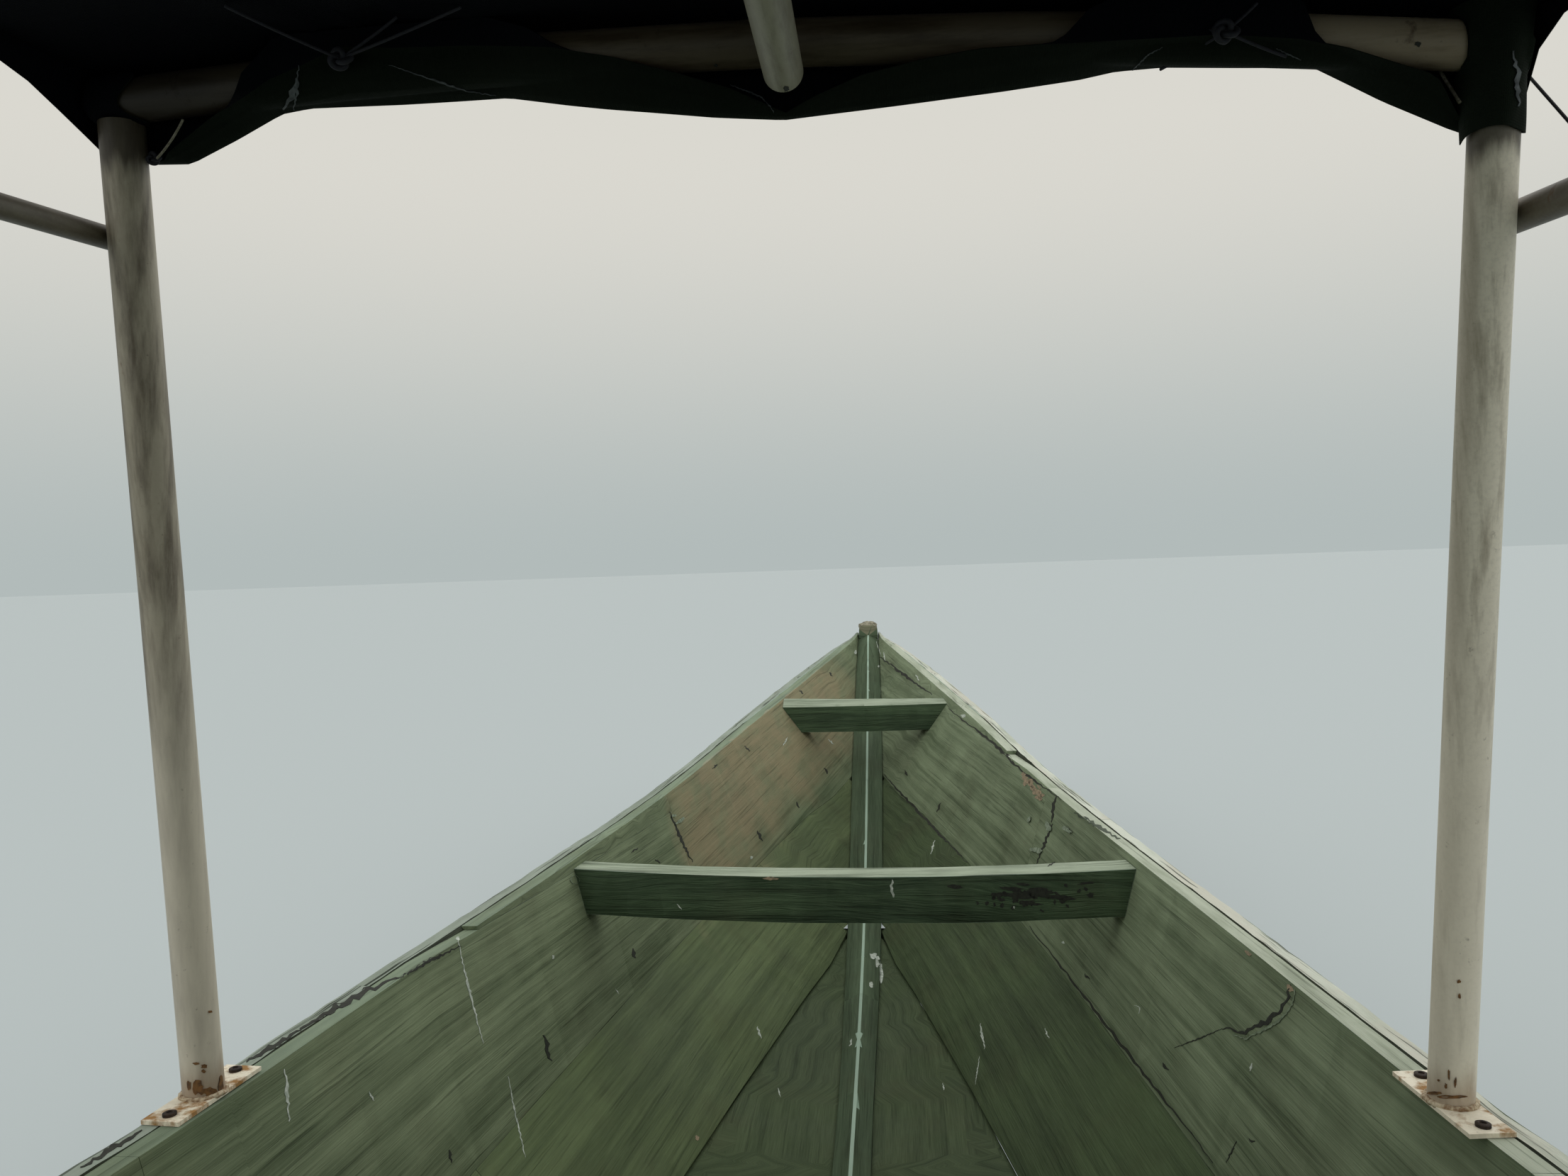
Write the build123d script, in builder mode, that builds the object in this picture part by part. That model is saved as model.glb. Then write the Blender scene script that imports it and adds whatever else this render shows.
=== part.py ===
from build123d import *
import math
import os

# A planked wooden lake boat, seen from inside in the photograph: a V bottomed
# hull of thick boards on a keel, a raked stem, two bare thwarts forward, and a
# tarpaulin canopy on steel pipes over the benches aft.
# X is starboard, Y runs forward to the bow, Z is up. The origin is amidships on
# the centreline, in the plane of the water. All sizes are in millimetres.

# Hull lines
FRONT_POST_Y = 500.0      # the front canopy posts stand here
GUNWALE_Z = 520.0         # top of the gunwale at the front posts, above the water
PLANK = 28.0              # thickness of the side and bottom boards
SEAM = 0.4                # gap left between two boards at a seam
CHINE_STEP = 9.0          # the side board stands this proud over the bottom board

# One row per station, as distances ahead of the front posts and heights from
# the gunwale there. Columns: along, then half breadth and height of the inner
# face at the sheer, at the mid side seam and at the chine, then the height of
# the backbone's shoulder and half its breadth.
LINES = [
    (-5300.0, 610.0, 20.0, 548.0, -300.0, 395.0, -520.0, -572.0, 38.0),
    (-4400.0, 692.0, 12.0, 612.0, -309.0, 436.0, -536.0, -586.0, 38.0),
    (-2900.0, 770.0, 9.0, 678.0, -316.0, 478.0, -549.0, -597.0, 38.0),
    (-1300.0, 802.0, 8.0, 706.0, -320.0, 498.0, -555.0, -602.0, 38.0),
    (-450.0, 762.0, 6.0, 671.0, -324.0, 466.0, -559.0, -603.0, 38.0),
    (0.0, 718.0, 0.0, 634.0, -329.0, 438.0, -561.0, -604.0, 38.0),
    (500.0, 673.0, -3.0, 588.0, -338.0, 390.0, -567.0, -606.0, 38.0),
    (1300.0, 592.0, -5.0, 506.0, -346.0, 263.0, -572.0, -609.0, 40.0),
    (1860.0, 525.0, 6.0, 425.0, -336.0, 151.0, -561.0, -588.0, 47.0),
    (2330.0, 466.0, 29.0, 328.0, -312.0, 53.0, -530.0, -530.0, 53.0),
    (2850.0, 402.0, 62.0, 205.0, -270.0, 57.0, -395.0, -395.0, 57.0),
    (3350.0, 310.0, 111.0, 60.0, -218.0, 60.0, -218.0, -218.0, 60.0),
    (3800.0, 214.0, 168.0, 58.0, -38.0, 58.0, -38.0, -38.0, 58.0),
    (4110.0, 135.0, 217.0, 55.0, 99.0, 55.0, 99.0, 99.0, 55.0),
    (4200.0, 112.0, 232.0, 53.0, 141.0, 53.0, 141.0, 141.0, 53.0),
    (4380.0, 65.0, 264.0, 49.0, 226.0, 49.0, 226.0, 226.0, 49.0),
    (4520.0, 49.0, 287.0, 47.0, 264.0, 47.0, 264.0, 264.0, 47.0),
]
CHINE_END = 2330.0        # the chine runs out on the backbone here
SEAM_END = 3350.0         # and the mid side seam here
SHEER_END = 4520.0        # the top boards and rails end on the stem here
THINS_FROM = 4200.0       # and are shaved thin from here on
BOW_PLANK = 4.0           # thickness of the boards at their fore ends
STERN = -5300.0           # outer face of the transom
# The hull is faired at the rows above and halfway between them, and is straight
# from one of these stations to the next.
ROWS = [row[0] for row in LINES]
STATIONS = sorted(ROWS + [(a + b) / 2 for a, b in zip(ROWS, ROWS[1:])])

# Joints between lengths of board
UPPER_BUTTS = [-3700.0, -2100.0, -150.0, 1860.0]
LOWER_BUTTS = [-3300.0, -1300.0, 480.0, 2330.0]
BOTTOM_BUTTS = [-2900.0, -900.0, 700.0]
BUTT_GAP = 0.6
WEDGE_RIGHT = (2100.0, 4200.0, 0.0, 100.0)   # from, to, width there and here
WEDGE_LEFT = (500.0, 1860.0, 0.0, 50.0)
WEDGE_TIP = {-1: 200.0, 1: 250.0}            # its thin end is cut off here
STRAKE_SHORT = 45.0       # a board that runs out on the next ends this far short

# Backbone
KEEL_DEPTH = 96.0         # keel below its shoulder
KEEL_FOOT = 30.0          # half breadth of the keel at its foot
KEELSON_EDGE = 10.0       # side height of the keelson
KEELSON_RIDGE = 34.0      # height of its worn ridge
SCARF = 1860.0            # keel and keelson meet the stem here
STEM_DEPTH = 150.0
CUTWATER = 17.0           # half breadth of the stem's leading edge
STEM_RAKE = 0.27          # rise of the stem's top over its length, past the boards
STEM_TIP = 4580.0         # forward end of the stem
STEM_TIP_HALF = 30.0      # half its breadth there
STEM_TIP_DEPTH = 70.0     # and its depth below the shoulder
STEM_HEAD_FROM = 4448.0   # aft face of the stem's head
STEM_HEAD_RISE = 58.0     # the head stands this far above the gunwale
STEM_HEAD_HALF = 46.5
STEM_HEAD_ROUND = 24.0    # radius of its worn top
FIT = 0.3                 # clearance of pieces that seat on one another

# Rubbing rails along the outside of the sheer
RAIL_WIDE = 27.0
RAIL_TIP = 5.0            # width of its fore end on the stem
RAIL_THINS_FROM = 3700.0  # it is shaved thin from here on
RAIL_DEEP = 62.0
RAIL_GROOVE = 5.0         # chamfer that shows as the dark groove on the gunwale
RAIL_LAP_LEFT = 390.0
RAIL_LAP_RIGHT = 1500.0

# Thwarts, benches and floor
THWART_DEEP = 100.0
THWARTS = [               # name, along, top, thickness, sag, slopes of its ends, turn
    ("thwart_second", 1142.0, -22.0, 72.0, 18.0, 0.0, 0.03, -2.4),
    ("thwart_first", 3220.0, 78.0, 72.0, 2.0, 0.36, 0.18, 0.0),
]
BENCH_ROWS = [-750.0, -1620.0, -2560.0, -3420.0, -4620.0]
BENCH_WIDE = 250.0
BENCH_THICK = 34.0
BENCH_TOP = -205.0
RISER_DEEP = 55.0
RISER_THICK = 28.0
RISER_FORE = -320.0
RISER_AFT = -5120.0
BEARER_ROWS = [-320.0, -1180.0, -2040.0, -2980.0, -3840.0, -4560.0]
BEARER_THICK = 45.0
FLOOR_TOP = -500.0
FLOOR_THICK = 20.0
FLOOR_FORE = -270.0
FLOOR_AFT = -4700.0
FLOORBOARD = 138.0
FLOOR_GAP = 16.0

# Transom
TRANSOM_THICK = 42.0
NOTCH_WIDE = 420.0
NOTCH_DEEP = 58.0
PAD_WIDE = 330.0
PAD_HIGH = 280.0
PAD_THICK = 30.0
KNEE_THICK = 48.0
KNEE_HIGH = 330.0
KNEE_LONG = 380.0

# Canopy frame
PIPE = 48.3               # outer diameter of posts and cross pipes
PIPE_WALL = 3.2
RIDGE_PIPE = 42.4
RAIL_PIPE = {-1: 26.9, 1: 33.7}      # the two mid rails are of different pipe
POST_ROWS = [0.0, -2100.0, -4200.0]
POST_IN = 26.0            # posts stand this far outside the planking's inner face
PLATE_LONG = 156.0
PLATE_WIDE = 50.0
PLATE_THICK = 5.0
PLATE_HOLE = 11.0
PLATE_HOLE_SPAN = 124.0
FRONT_LEAN = 115.0        # the front posts lean aft by this much at their tops
FRONT_FEET = {-1: 749.0, 1: 725.0}   # the front pair isn't quite square
FRONT_SPLAY = {-1: -24.0, 1: 18.0}   # and both its tops stray to starboard
CROSS_CROWN = 1188.0      # height of the front cross pipe's axis at the centreline
CROSS_DROP = {-1: 13.0, 1: 60.0}     # the cross pipes' ends hang this far lower
CROSS_PAST = 20.0         # the cross pipes run past the posts
CROSS_RUNS = 6            # each is bent by hand in this many straight runs
RIDGE_X = 22.0
RIDGE_DROP = 39.0         # the ridge pipe's axis is this far below the front crown
RIDGE_PAST = 14.0         # and it runs past the rear cross pipe
RIDGE_SLIP = 1.05         # the aft cross pipes slope down by this much where they cross it
MID_RAIL_Z = {-1: 1034.0, 1: 969.0}  # mid rails at the front posts
MID_RAIL_DROP = [0.0, 130.0, 180.0]  # they fall by this much at each row
MID_RAIL_PAST = 42.0      # and run past the end posts

# Tarpaulin
CLOTH = 3.0
CLOTH_PAST = 11.0         # its sides hang this far outside the cross pipes' ends
CLOTH_OVER = 1.0          # it lies this far above the cross pipes
SIDE_DROP = 50.0          # its sides hang this far below the pipes' ends
END_DROP = 48.0           # and its ends this far below the cross pipes' axes


def fair(column, y):
    """Value of one column of LINES at y, on a smooth curve through the rows."""
    ys = [row[0] for row in LINES]
    vs = [row[column] for row in LINES]
    k = max(i for i in range(len(ys) - 1) if y >= ys[i] - 1e-6)
    slopes = []
    for i in (k, k + 1):
        lo = max(i - 1, 0)
        hi = min(i + 1, len(ys) - 1)
        slopes.append((vs[hi] - vs[lo]) / (ys[hi] - ys[lo]))
    h = ys[k + 1] - ys[k]
    t = (y - ys[k]) / h
    a = (2 * t**3 - 3 * t**2 + 1) * vs[k] + (t**3 - 2 * t**2 + t) * h * slopes[0]
    b = (-2 * t**3 + 3 * t**2) * vs[k + 1] + (t**3 - t**2) * h * slopes[1]
    return a + b


def meet(p, d, q, e):
    """Point where the line through p along d meets the line through q along e."""
    cross = d[0] * e[1] - d[1] * e[0]
    s = ((q[0] - p[0]) * e[1] - (q[1] - p[1]) * e[0]) / cross
    return (p[0] + s * d[0], p[1] + s * d[1])


def plank_at(y):
    """Thickness of the boards at y: shaved thin where they end on the stem."""
    share = max(0.0, (y - THINS_FROM) / (SHEER_END - THINS_FROM))
    return PLANK + (BOW_PLANK - PLANK) * share


def station(y):
    """Inner and outer corners of the planking at y: sheer, seam, chine, shoulder."""
    half = fair(8, y)
    shoulder = (half + FIT, fair(7, y))
    corners = [(fair(1, y), fair(2, y))]
    if y < SEAM_END - 1:
        corners.append((fair(3, y), fair(4, y)))
    if y < CHINE_END - 1:
        corners.append((fair(5, y), fair(6, y)))
    corners.append(shoulder)
    runs = []
    for a, b in zip(corners, corners[1:]):
        size = math.hypot(b[0] - a[0], b[1] - a[1])
        along = ((b[0] - a[0]) / size, (b[1] - a[1]) / size)
        thick = plank_at(y)
        runs.append((along, (a[0] - along[1] * thick, a[1] + along[0] * thick)))
    outer = [meet(runs[0][1], runs[0][0], corners[0], (1.0, 0.0))]
    for one, two in zip(runs, runs[1:]):
        outer.append(meet(one[1], one[0], two[1], two[0]))
    outer.append(meet(runs[-1][1], runs[-1][0], shoulder, (0.0, 1.0)))
    while len(corners) < 4:
        corners.append(corners[-1])
        outer.append(outer[-1])
    return corners, outer, half


GRID = {y: station(y) for y in STATIONS}


def hull_at(y):
    """Planking corners at any y, straight between the two stations beside it."""
    k = max(i for i in range(len(STATIONS) - 1) if y >= STATIONS[i] - 1e-6)
    a, b = STATIONS[k], STATIONS[k + 1]
    t = (y - a) / (b - a)
    rows = []
    for part in (0, 1):
        rows.append([
            (p[0] + (q[0] - p[0]) * t, p[1] + (q[1] - p[1]) * t)
            for p, q in zip(GRID[a][part], GRID[b][part])
        ])
    return rows[0], rows[1], GRID[a][2] + (GRID[b][2] - GRID[a][2]) * t


def stops(y0, y1):
    """Stations between y0 and y1, with both ends."""
    return [y0] + [y for y in STATIONS if y0 + 1 < y < y1 - 1] + [y1]


def part_way(p, q, share):
    return (p[0] + (q[0] - p[0]) * share, p[1] + (q[1] - p[1]) * share)


def shifted(p, q, amount):
    """The point amount away from p towards q."""
    size = math.hypot(q[0] - p[0], q[1] - p[1])
    return part_way(p, q, amount / max(size, 1e-6))


def wedge_share(side, y):
    """Share of the top board's breadth that the wedge takes, straight between stations."""
    y0, y1, w0, w1 = WEDGE_RIGHT if side > 0 else WEDGE_LEFT
    k = max(i for i in range(len(STATIONS) - 1) if y >= STATIONS[i] - 1e-6)
    shares = []
    for at in (STATIONS[k], STATIONS[k + 1]):
        sheer, low = GRID[at][0][:2]
        width = w0 + (w1 - w0) * max(at - y0, 0.0) / (y1 - y0)
        whole = math.hypot(sheer[0] - low[0], sheer[1] - low[1])
        shares.append(min(width / whole, 1.0) if at < y1 + 1 else float(side > 0))
    t = (y - STATIONS[k]) / (STATIONS[k + 1] - STATIONS[k])
    return shares[0] + (shares[1] - shares[0]) * t


def seat(y, z):
    """Half breadth of the hull's inner face at y and height z."""
    inner = hull_at(y)[0]
    for a, b in zip(inner, inner[1:]):
        if b[1] <= z <= a[1]:
            return b[0] + (a[0] - b[0]) * (z - b[1]) / (a[1] - b[1])
    return inner[0][0] if z > inner[0][1] else inner[-1][0]


def skin(y0, y1, corners_at, side=1):
    """Straight lofted length of timber through the outlines between y0 and y1."""
    with BuildPart() as timber:
        for y in stops(y0, y1):
            with BuildSketch(Plane.XZ.offset(-(FRONT_POST_Y + y))):
                with BuildLine():
                    Polyline(
                        *[(side * x, GUNWALE_Z + z) for x, z in corners_at(y)],
                        close=True,
                    )
                make_face()
        loft(ruled=True)
    return timber


def save(timber, name):
    timber.part.label = name
    export_step(timber.part, f"parts/{name}.step")


os.makedirs("parts", exist_ok=True)
SIDES = (("left", -1), ("right", 1))


# Keel, keelson and stem
def keel_outline(y):
    half = hull_at(y)[2]
    z = hull_at(y)[0][3][1]
    return [(half, z), (half, z - 34), (KEEL_FOOT, z - KEEL_DEPTH),
            (-KEEL_FOOT, z - KEEL_DEPTH), (-half, z - 34), (-half, z)]


def keelson_outline(y):
    half = hull_at(y)[2]
    z = hull_at(y)[0][3][1] + FIT
    return [(half, z), (half, z + KEELSON_EDGE), (4, z + KEELSON_RIDGE),
            (-4, z + KEELSON_RIDGE), (-half, z + KEELSON_EDGE), (-half, z)]


def stem_outline(y):
    """The stem deepens and sharpens forward, and closes to its tip past the boards."""
    reach = min(y, SHEER_END)
    half = hull_at(reach)[2]
    z = hull_at(reach)[0][3][1]
    grow = min(1.0, (y - SCARF) / 900.0)
    deep = KEEL_DEPTH + (STEM_DEPTH - KEEL_DEPTH) * grow
    foot = KEEL_FOOT + (CUTWATER - KEEL_FOOT) * grow
    side = 34 + 40 * grow
    close = max(0.0, (y - SHEER_END) / (STEM_TIP - SHEER_END))
    z += close * (STEM_TIP - SHEER_END) * STEM_RAKE
    half += (STEM_TIP_HALF - half) * close
    deep += (STEM_TIP_DEPTH - deep) * close
    side += (STEM_TIP_DEPTH / 2 - side) * close
    return [(half, z), (half, z + KEELSON_EDGE), (4, z + KEELSON_RIDGE),
            (-4, z + KEELSON_RIDGE), (-half, z + KEELSON_EDGE), (-half, z),
            (-half, z - side), (-foot, z - deep), (foot, z - deep), (half, z - side)]


save(skin(STERN, SCARF - BUTT_GAP, keel_outline), "keel")
save(skin(STERN + TRANSOM_THICK + FIT, SCARF - BUTT_GAP, keelson_outline), "keelson")

# the worn head stands above the gunwale, rounded across and raked in front
head_z = GUNWALE_Z + fair(2, SHEER_END) + STEM_HEAD_RISE
head_low = GUNWALE_Z + fair(7, SHEER_END)
back = FRONT_POST_Y + STEM_HEAD_FROM
tip = FRONT_POST_Y + STEM_TIP
with BuildPart() as stem_head:
    with BuildSketch(Plane.XZ.offset(-back)):
        with Locations((0, (head_z + head_low) / 2)):
            block = Rectangle(2 * STEM_HEAD_HALF, head_z - head_low)
        fillet(block.vertices().group_by(Axis.Y)[-1], STEM_HEAD_ROUND)
    extrude(amount=-(tip - back))
    with BuildSketch(Plane.YZ):
        with BuildLine():
            Polyline(
                (back - 1, head_low), (back + 12, head_z + 1), (tip - 46, head_z + 1),
                (tip - 8, head_z - 26), (tip, head_low), close=True,
            )
        make_face()
    extrude(amount=STEM_HEAD_HALF + 1, both=True, mode=Mode.INTERSECT)

with BuildPart() as stem:
    for y in stops(SCARF, SHEER_END) + [STEM_TIP]:
        with BuildSketch(Plane.XZ.offset(-(FRONT_POST_Y + y))):
            with BuildLine():
                Polyline(*[(x, GUNWALE_Z + z) for x, z in stem_outline(y)], close=True)
            make_face()
    loft(ruled=True)
    add(stem_head.part)
save(stem, "stem")


# Planking
def board(side, y0, y1, top, low):
    """Outline maker for the board between two of the planking corners."""
    def corners(y):
        inner, outer, half = hull_at(y)
        share = wedge_share(side, y)
        marks = [inner[0], part_way(inner[0], inner[1], share), inner[1], inner[2], inner[3]]
        backs = [outer[0], part_way(outer[0], outer[1], share), outer[1], outer[2], outer[3]]
        a, b, c, d = marks[top], marks[low], backs[low], backs[top]
        gap = SEAM / 2
        a, b = shifted(a, b, gap), shifted(b, a, gap)
        d, c = shifted(d, c, gap), shifted(c, d, gap)
        if top == 3:
            a, b = part_way(a, d, CHINE_STEP / PLANK), b
        return [a, b, c, d]
    return skin(y0, y1, corners, side)


SHEER, WEDGE, MID, CHINE, SHOULDER = range(5)
BOARDS = [                # name, from, to, its butts, upper edge, lower edge
    ("bottom_board_aft", STERN, BOTTOM_BUTTS[0], BOTTOM_BUTTS, CHINE, SHOULDER),
    ("bottom_board_fore", BOTTOM_BUTTS[0], CHINE_END - STRAKE_SHORT, BOTTOM_BUTTS, CHINE, SHOULDER),
    ("lower_strake_aft", STERN, LOWER_BUTTS[1], LOWER_BUTTS, MID, CHINE),
    ("lower_strake_fore", LOWER_BUTTS[1], SEAM_END - STRAKE_SHORT, LOWER_BUTTS, MID, CHINE),
    ("upper_strake_aft", STERN, UPPER_BUTTS[1], UPPER_BUTTS, WEDGE, MID),
    ("upper_strake_mid", UPPER_BUTTS[1], UPPER_BUTTS[3], UPPER_BUTTS, WEDGE, MID),
]
for name, start, end, butts, top, low in BOARDS:
    for word, side in SIDES:
        lengths = [start] + [y for y in butts if start < y < end] + [end]
        with BuildPart() as strake:
            for y0, y1 in zip(lengths, lengths[1:]):
                add(board(side, y0, y1 - BUTT_GAP, top, low).part)
        save(strake, f"{name}_{word}")
BUTT_FORE = UPPER_BUTTS[3]
save(board(-1, BUTT_FORE, SHEER_END, SHEER, MID), "upper_strake_fore_left")
save(board(1, BUTT_FORE, WEDGE_RIGHT[1], WEDGE, MID), "upper_strake_fore_right")
save(board(-1, WEDGE_LEFT[0] + WEDGE_TIP[-1], BUTT_FORE - BUTT_GAP, SHEER, WEDGE), "sheer_wedge_left")
save(board(1, WEDGE_RIGHT[0] + WEDGE_TIP[1], SHEER_END, SHEER, WEDGE), "sheer_wedge_right")


# Rubbing rails, chamfered where they meet the planking
def rail_outline(y):
    outer = hull_at(y)[1]
    top, low = outer[0], outer[1]
    size = math.hypot(low[0] - top[0], low[1] - top[1])
    d = ((low[0] - top[0]) / size, (low[1] - top[1]) / size)
    n = (-d[1], d[0])

    def at(down, out):
        return (top[0] + down * d[0] + out * n[0], top[1] + down * d[1] + out * n[1])

    share = max(0.0, (y - RAIL_THINS_FROM) / (SHEER_END - RAIL_THINS_FROM))
    wide = RAIL_WIDE + (RAIL_TIP - RAIL_WIDE) * share
    groove = RAIL_GROOVE * wide / RAIL_WIDE
    deep = min(RAIL_DEEP, size)
    level = (1.0, 0.0)
    back = meet(at(0, FIT), d, top, level)
    face = meet(at(0, FIT + wide), d, top, level)
    return [(back[0] + groove, top[1]), at(groove, FIT), at(deep, FIT),
            at(deep, FIT + wide), face]


for word, side in SIDES:
    lap = RAIL_LAP_RIGHT if side > 0 else RAIL_LAP_LEFT
    save(skin(STERN, lap - BUTT_GAP, rail_outline, side), f"rubbing_rail_aft_{word}")
    save(skin(lap, SHEER_END, rail_outline, side), f"rubbing_rail_fore_{word}")


# Thwarts, benches and their risers
def across(top, low):
    """Outline of a timber that fits between the sides from height low to top."""
    def corners(y):
        wide, tight = seat(y, top) - FIT, seat(y, low) - FIT
        return [(wide, top), (tight, low), (-tight, low), (-wide, top)]
    return corners


def reach(y, z, side, turn):
    """Distance from the centreline to the hull's side along a line turned from square."""
    wide = seat(y, z)
    for _ in range(4):
        wide = seat(y + side * wide * math.sin(turn), z) / math.cos(turn)
    return side * (wide - 2 * FIT)


for name, at_y, top, thick, sag, slope_left, slope_right, degrees in THWARTS:
    turn = math.radians(degrees)
    low = top - THWART_DEEP
    with BuildPart() as thwart:
        for y in (at_y, at_y + thick):
            face = Plane(
                origin=(0, FRONT_POST_Y + y, GUNWALE_Z),
                x_dir=(math.cos(turn), math.sin(turn), 0),
                z_dir=(math.sin(turn), -math.cos(turn), 0),
            )
            left, right = top + slope_left * (y - at_y), top + slope_right * (y - at_y)
            a, b = (reach(y, left, -1, turn), left), (reach(y, right, 1, turn), right)
            c, d = (reach(y, low, 1, turn), low), (reach(y, low, -1, turn), low)
            with BuildSketch(face):
                with BuildLine():
                    ThreePointArc(a, (0, (left + right) / 2 - sag), b)
                    Line(b, c)
                    ThreePointArc(c, (0, low - sag), d)
                    Line(d, a)
                make_face()
        loft(ruled=True)
    save(thwart, name)

with BuildPart() as benches:
    for row in BENCH_ROWS:
        low = BENCH_TOP - BENCH_THICK
        add(skin(row - BENCH_WIDE / 2, row + BENCH_WIDE / 2, across(BENCH_TOP, low)).part)
save(benches, "benches")


def riser_outline(y):
    top = BENCH_TOP - BENCH_THICK - FIT
    low = top - RISER_DEEP
    a, b = seat(y, top) - FIT, seat(y, low) - FIT
    return [(a, top), (b, low), (b - RISER_THICK, low), (a - RISER_THICK, top)]


with BuildPart() as bench_risers:
    for word, side in SIDES:
        add(skin(RISER_AFT, RISER_FORE, riser_outline, side).part)
save(bench_risers, "bench_risers")


# Floorboards on their bearers
def bearer_outline(y):
    inner, outer, half = hull_at(y)
    top = FLOOR_TOP - FLOOR_THICK - FIT
    chine = (inner[2][0] - 2.0, inner[2][1] + 0.6)
    rise = (inner[2][1] - inner[3][1]) / (inner[2][0] - half)
    inboard = (half + 12.0, inner[3][1] + 12.0 * rise + 0.6)
    over = inner[3][1] + KEELSON_RIDGE + 6.0
    right = [(seat(y, top) - 1.0, top), chine, inboard, (half + 12.0, over)]
    return right + [(-x, z) for x, z in reversed(right)]


with BuildPart() as floor_bearers:
    for row in BEARER_ROWS:
        add(skin(row - BEARER_THICK / 2, row + BEARER_THICK / 2, bearer_outline).part)
save(floor_bearers, "floor_bearers")

with BuildPart() as floorboards:
    with Locations(
        *[(k * (FLOORBOARD + FLOOR_GAP), FRONT_POST_Y + (FLOOR_FORE + FLOOR_AFT) / 2,
           GUNWALE_Z + FLOOR_TOP - FLOOR_THICK / 2) for k in range(-2, 3)]
    ):
        Box(FLOORBOARD, FLOOR_FORE - FLOOR_AFT, FLOOR_THICK)
save(floorboards, "floorboards")


# Transom, its knee and the pad a motor is clamped on
def transom_outline(y):
    inner = hull_at(y)[0]
    right = [(x - FIT, z) for x, z in inner[:3]] + [(inner[3][0] - FIT, inner[3][1] + FIT)]
    return right + [(-x, z) for x, z in reversed(right)]


stern_sheer = GUNWALE_Z + fair(2, STERN)
stern_floor = GUNWALE_Z + fair(7, STERN)
notch_floor = stern_sheer - NOTCH_DEEP
with BuildPart() as transom:
    add(skin(STERN, STERN + TRANSOM_THICK, transom_outline).part)
    with BuildSketch(Plane.XZ.offset(-(FRONT_POST_Y + STERN - 10))) as notch:
        with Locations((0, stern_sheer + 20)):
            Rectangle(NOTCH_WIDE, 2 * (NOTCH_DEEP + 20), align=(Align.CENTER, Align.CENTER))
    extrude(amount=-(TRANSOM_THICK + 20), mode=Mode.SUBTRACT)
save(transom, "transom")

with BuildPart() as motor_pad:
    with Locations((0, FRONT_POST_Y + STERN - FIT - PAD_THICK / 2, notch_floor - PAD_HIGH / 2)):
        Box(PAD_WIDE, PAD_THICK, PAD_HIGH)
    chamfer(motor_pad.edges().filter_by(Axis.Z).group_by(Axis.Y)[0], 8)
save(motor_pad, "motor_pad")

with BuildPart() as transom_knee:
    knee_y = FRONT_POST_Y + STERN + TRANSOM_THICK + FIT
    knee_z = stern_floor + KEELSON_RIDGE + 2.5
    with BuildSketch(Plane.YZ.offset(-KNEE_THICK / 2)):
        with BuildLine():
            Line((knee_y, knee_z), (knee_y, knee_z + KNEE_HIGH))
            Line((knee_y, knee_z + KNEE_HIGH), (knee_y + 60, knee_z + KNEE_HIGH))
            ThreePointArc(
                (knee_y + 60, knee_z + KNEE_HIGH),
                (knee_y + 120, knee_z + 130),
                (knee_y + KNEE_LONG, knee_z + 50),
            )
            Line((knee_y + KNEE_LONG, knee_z + 50), (knee_y + KNEE_LONG, knee_z))
            Line((knee_y + KNEE_LONG, knee_z), (knee_y, knee_z))
        make_face()
    extrude(amount=KNEE_THICK)
save(transom_knee, "transom_knee")


# Canopy posts, feet and pipes
def post_foot(row, side):
    if row == 0:
        return FRONT_FEET[side]
    return hull_at(POST_ROWS[row])[0][0][0] + POST_IN


def post_top(row, side):
    return post_foot(row, side) + (FRONT_SPLAY[side] if row == 0 else 0.0)


def post_lean(row):
    return FRONT_LEAN if row == 0 else 0.0


def crown(row):
    """Height of a cross pipe's axis at the centreline: the aft ones lie on the ridge pipe."""
    if row == 0:
        return CROSS_CROWN
    return CROSS_CROWN - RIDGE_DROP + (PIPE + RIDGE_PIPE) / 2 + FIT + RIDGE_SLIP


def crown_circle(row):
    """Centre and radius of the arc that the axis of one row's cross pipe follows."""
    left = (-(post_top(row, -1) + CROSS_PAST), crown(row) - CROSS_DROP[-1])
    right = (post_top(row, 1) + CROSS_PAST, crown(row) - CROSS_DROP[1])
    top = (0.0, crown(row))
    ax, az = left[0] - top[0], left[1] - top[1]
    bx, bz = right[0] - top[0], right[1] - top[1]
    k = 2 * (ax * bz - az * bx)
    cx = (bz * (ax**2 + az**2) - az * (bx**2 + bz**2)) / k
    cz = (ax * (bx**2 + bz**2) - bx * (ax**2 + az**2)) / k
    return (cx, cz + top[1]), math.hypot(cx, cz), left, right


def crown_z(row, x):
    """Height of the cross pipe's axis above the gunwale at x."""
    centre, radius, _, _ = crown_circle(row)
    return centre[1] + math.sqrt(radius**2 - (x - centre[0]) ** 2)


def run_z(row, x):
    """The same on the straight runs that the pipe is bent in."""
    left, right = crown_circle(row)[2:]
    step = (right[0] - left[0]) / CROSS_RUNS
    k = min(int((x - left[0]) / step), CROSS_RUNS - 1)
    a, b = left[0] + k * step, left[0] + (k + 1) * step
    return crown_z(row, a) + (crown_z(row, b) - crown_z(row, a)) * (x - a) / step


def plate_seat(row):
    """Height of the underside of a row's base plates, on the highest board below them."""
    y = POST_ROWS[row]
    spots = (y - PLATE_LONG / 2, y, y + PLATE_LONG / 2)
    return GUNWALE_Z + max(hull_at(at)[0][0][1] for at in spots) + FIT


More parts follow.
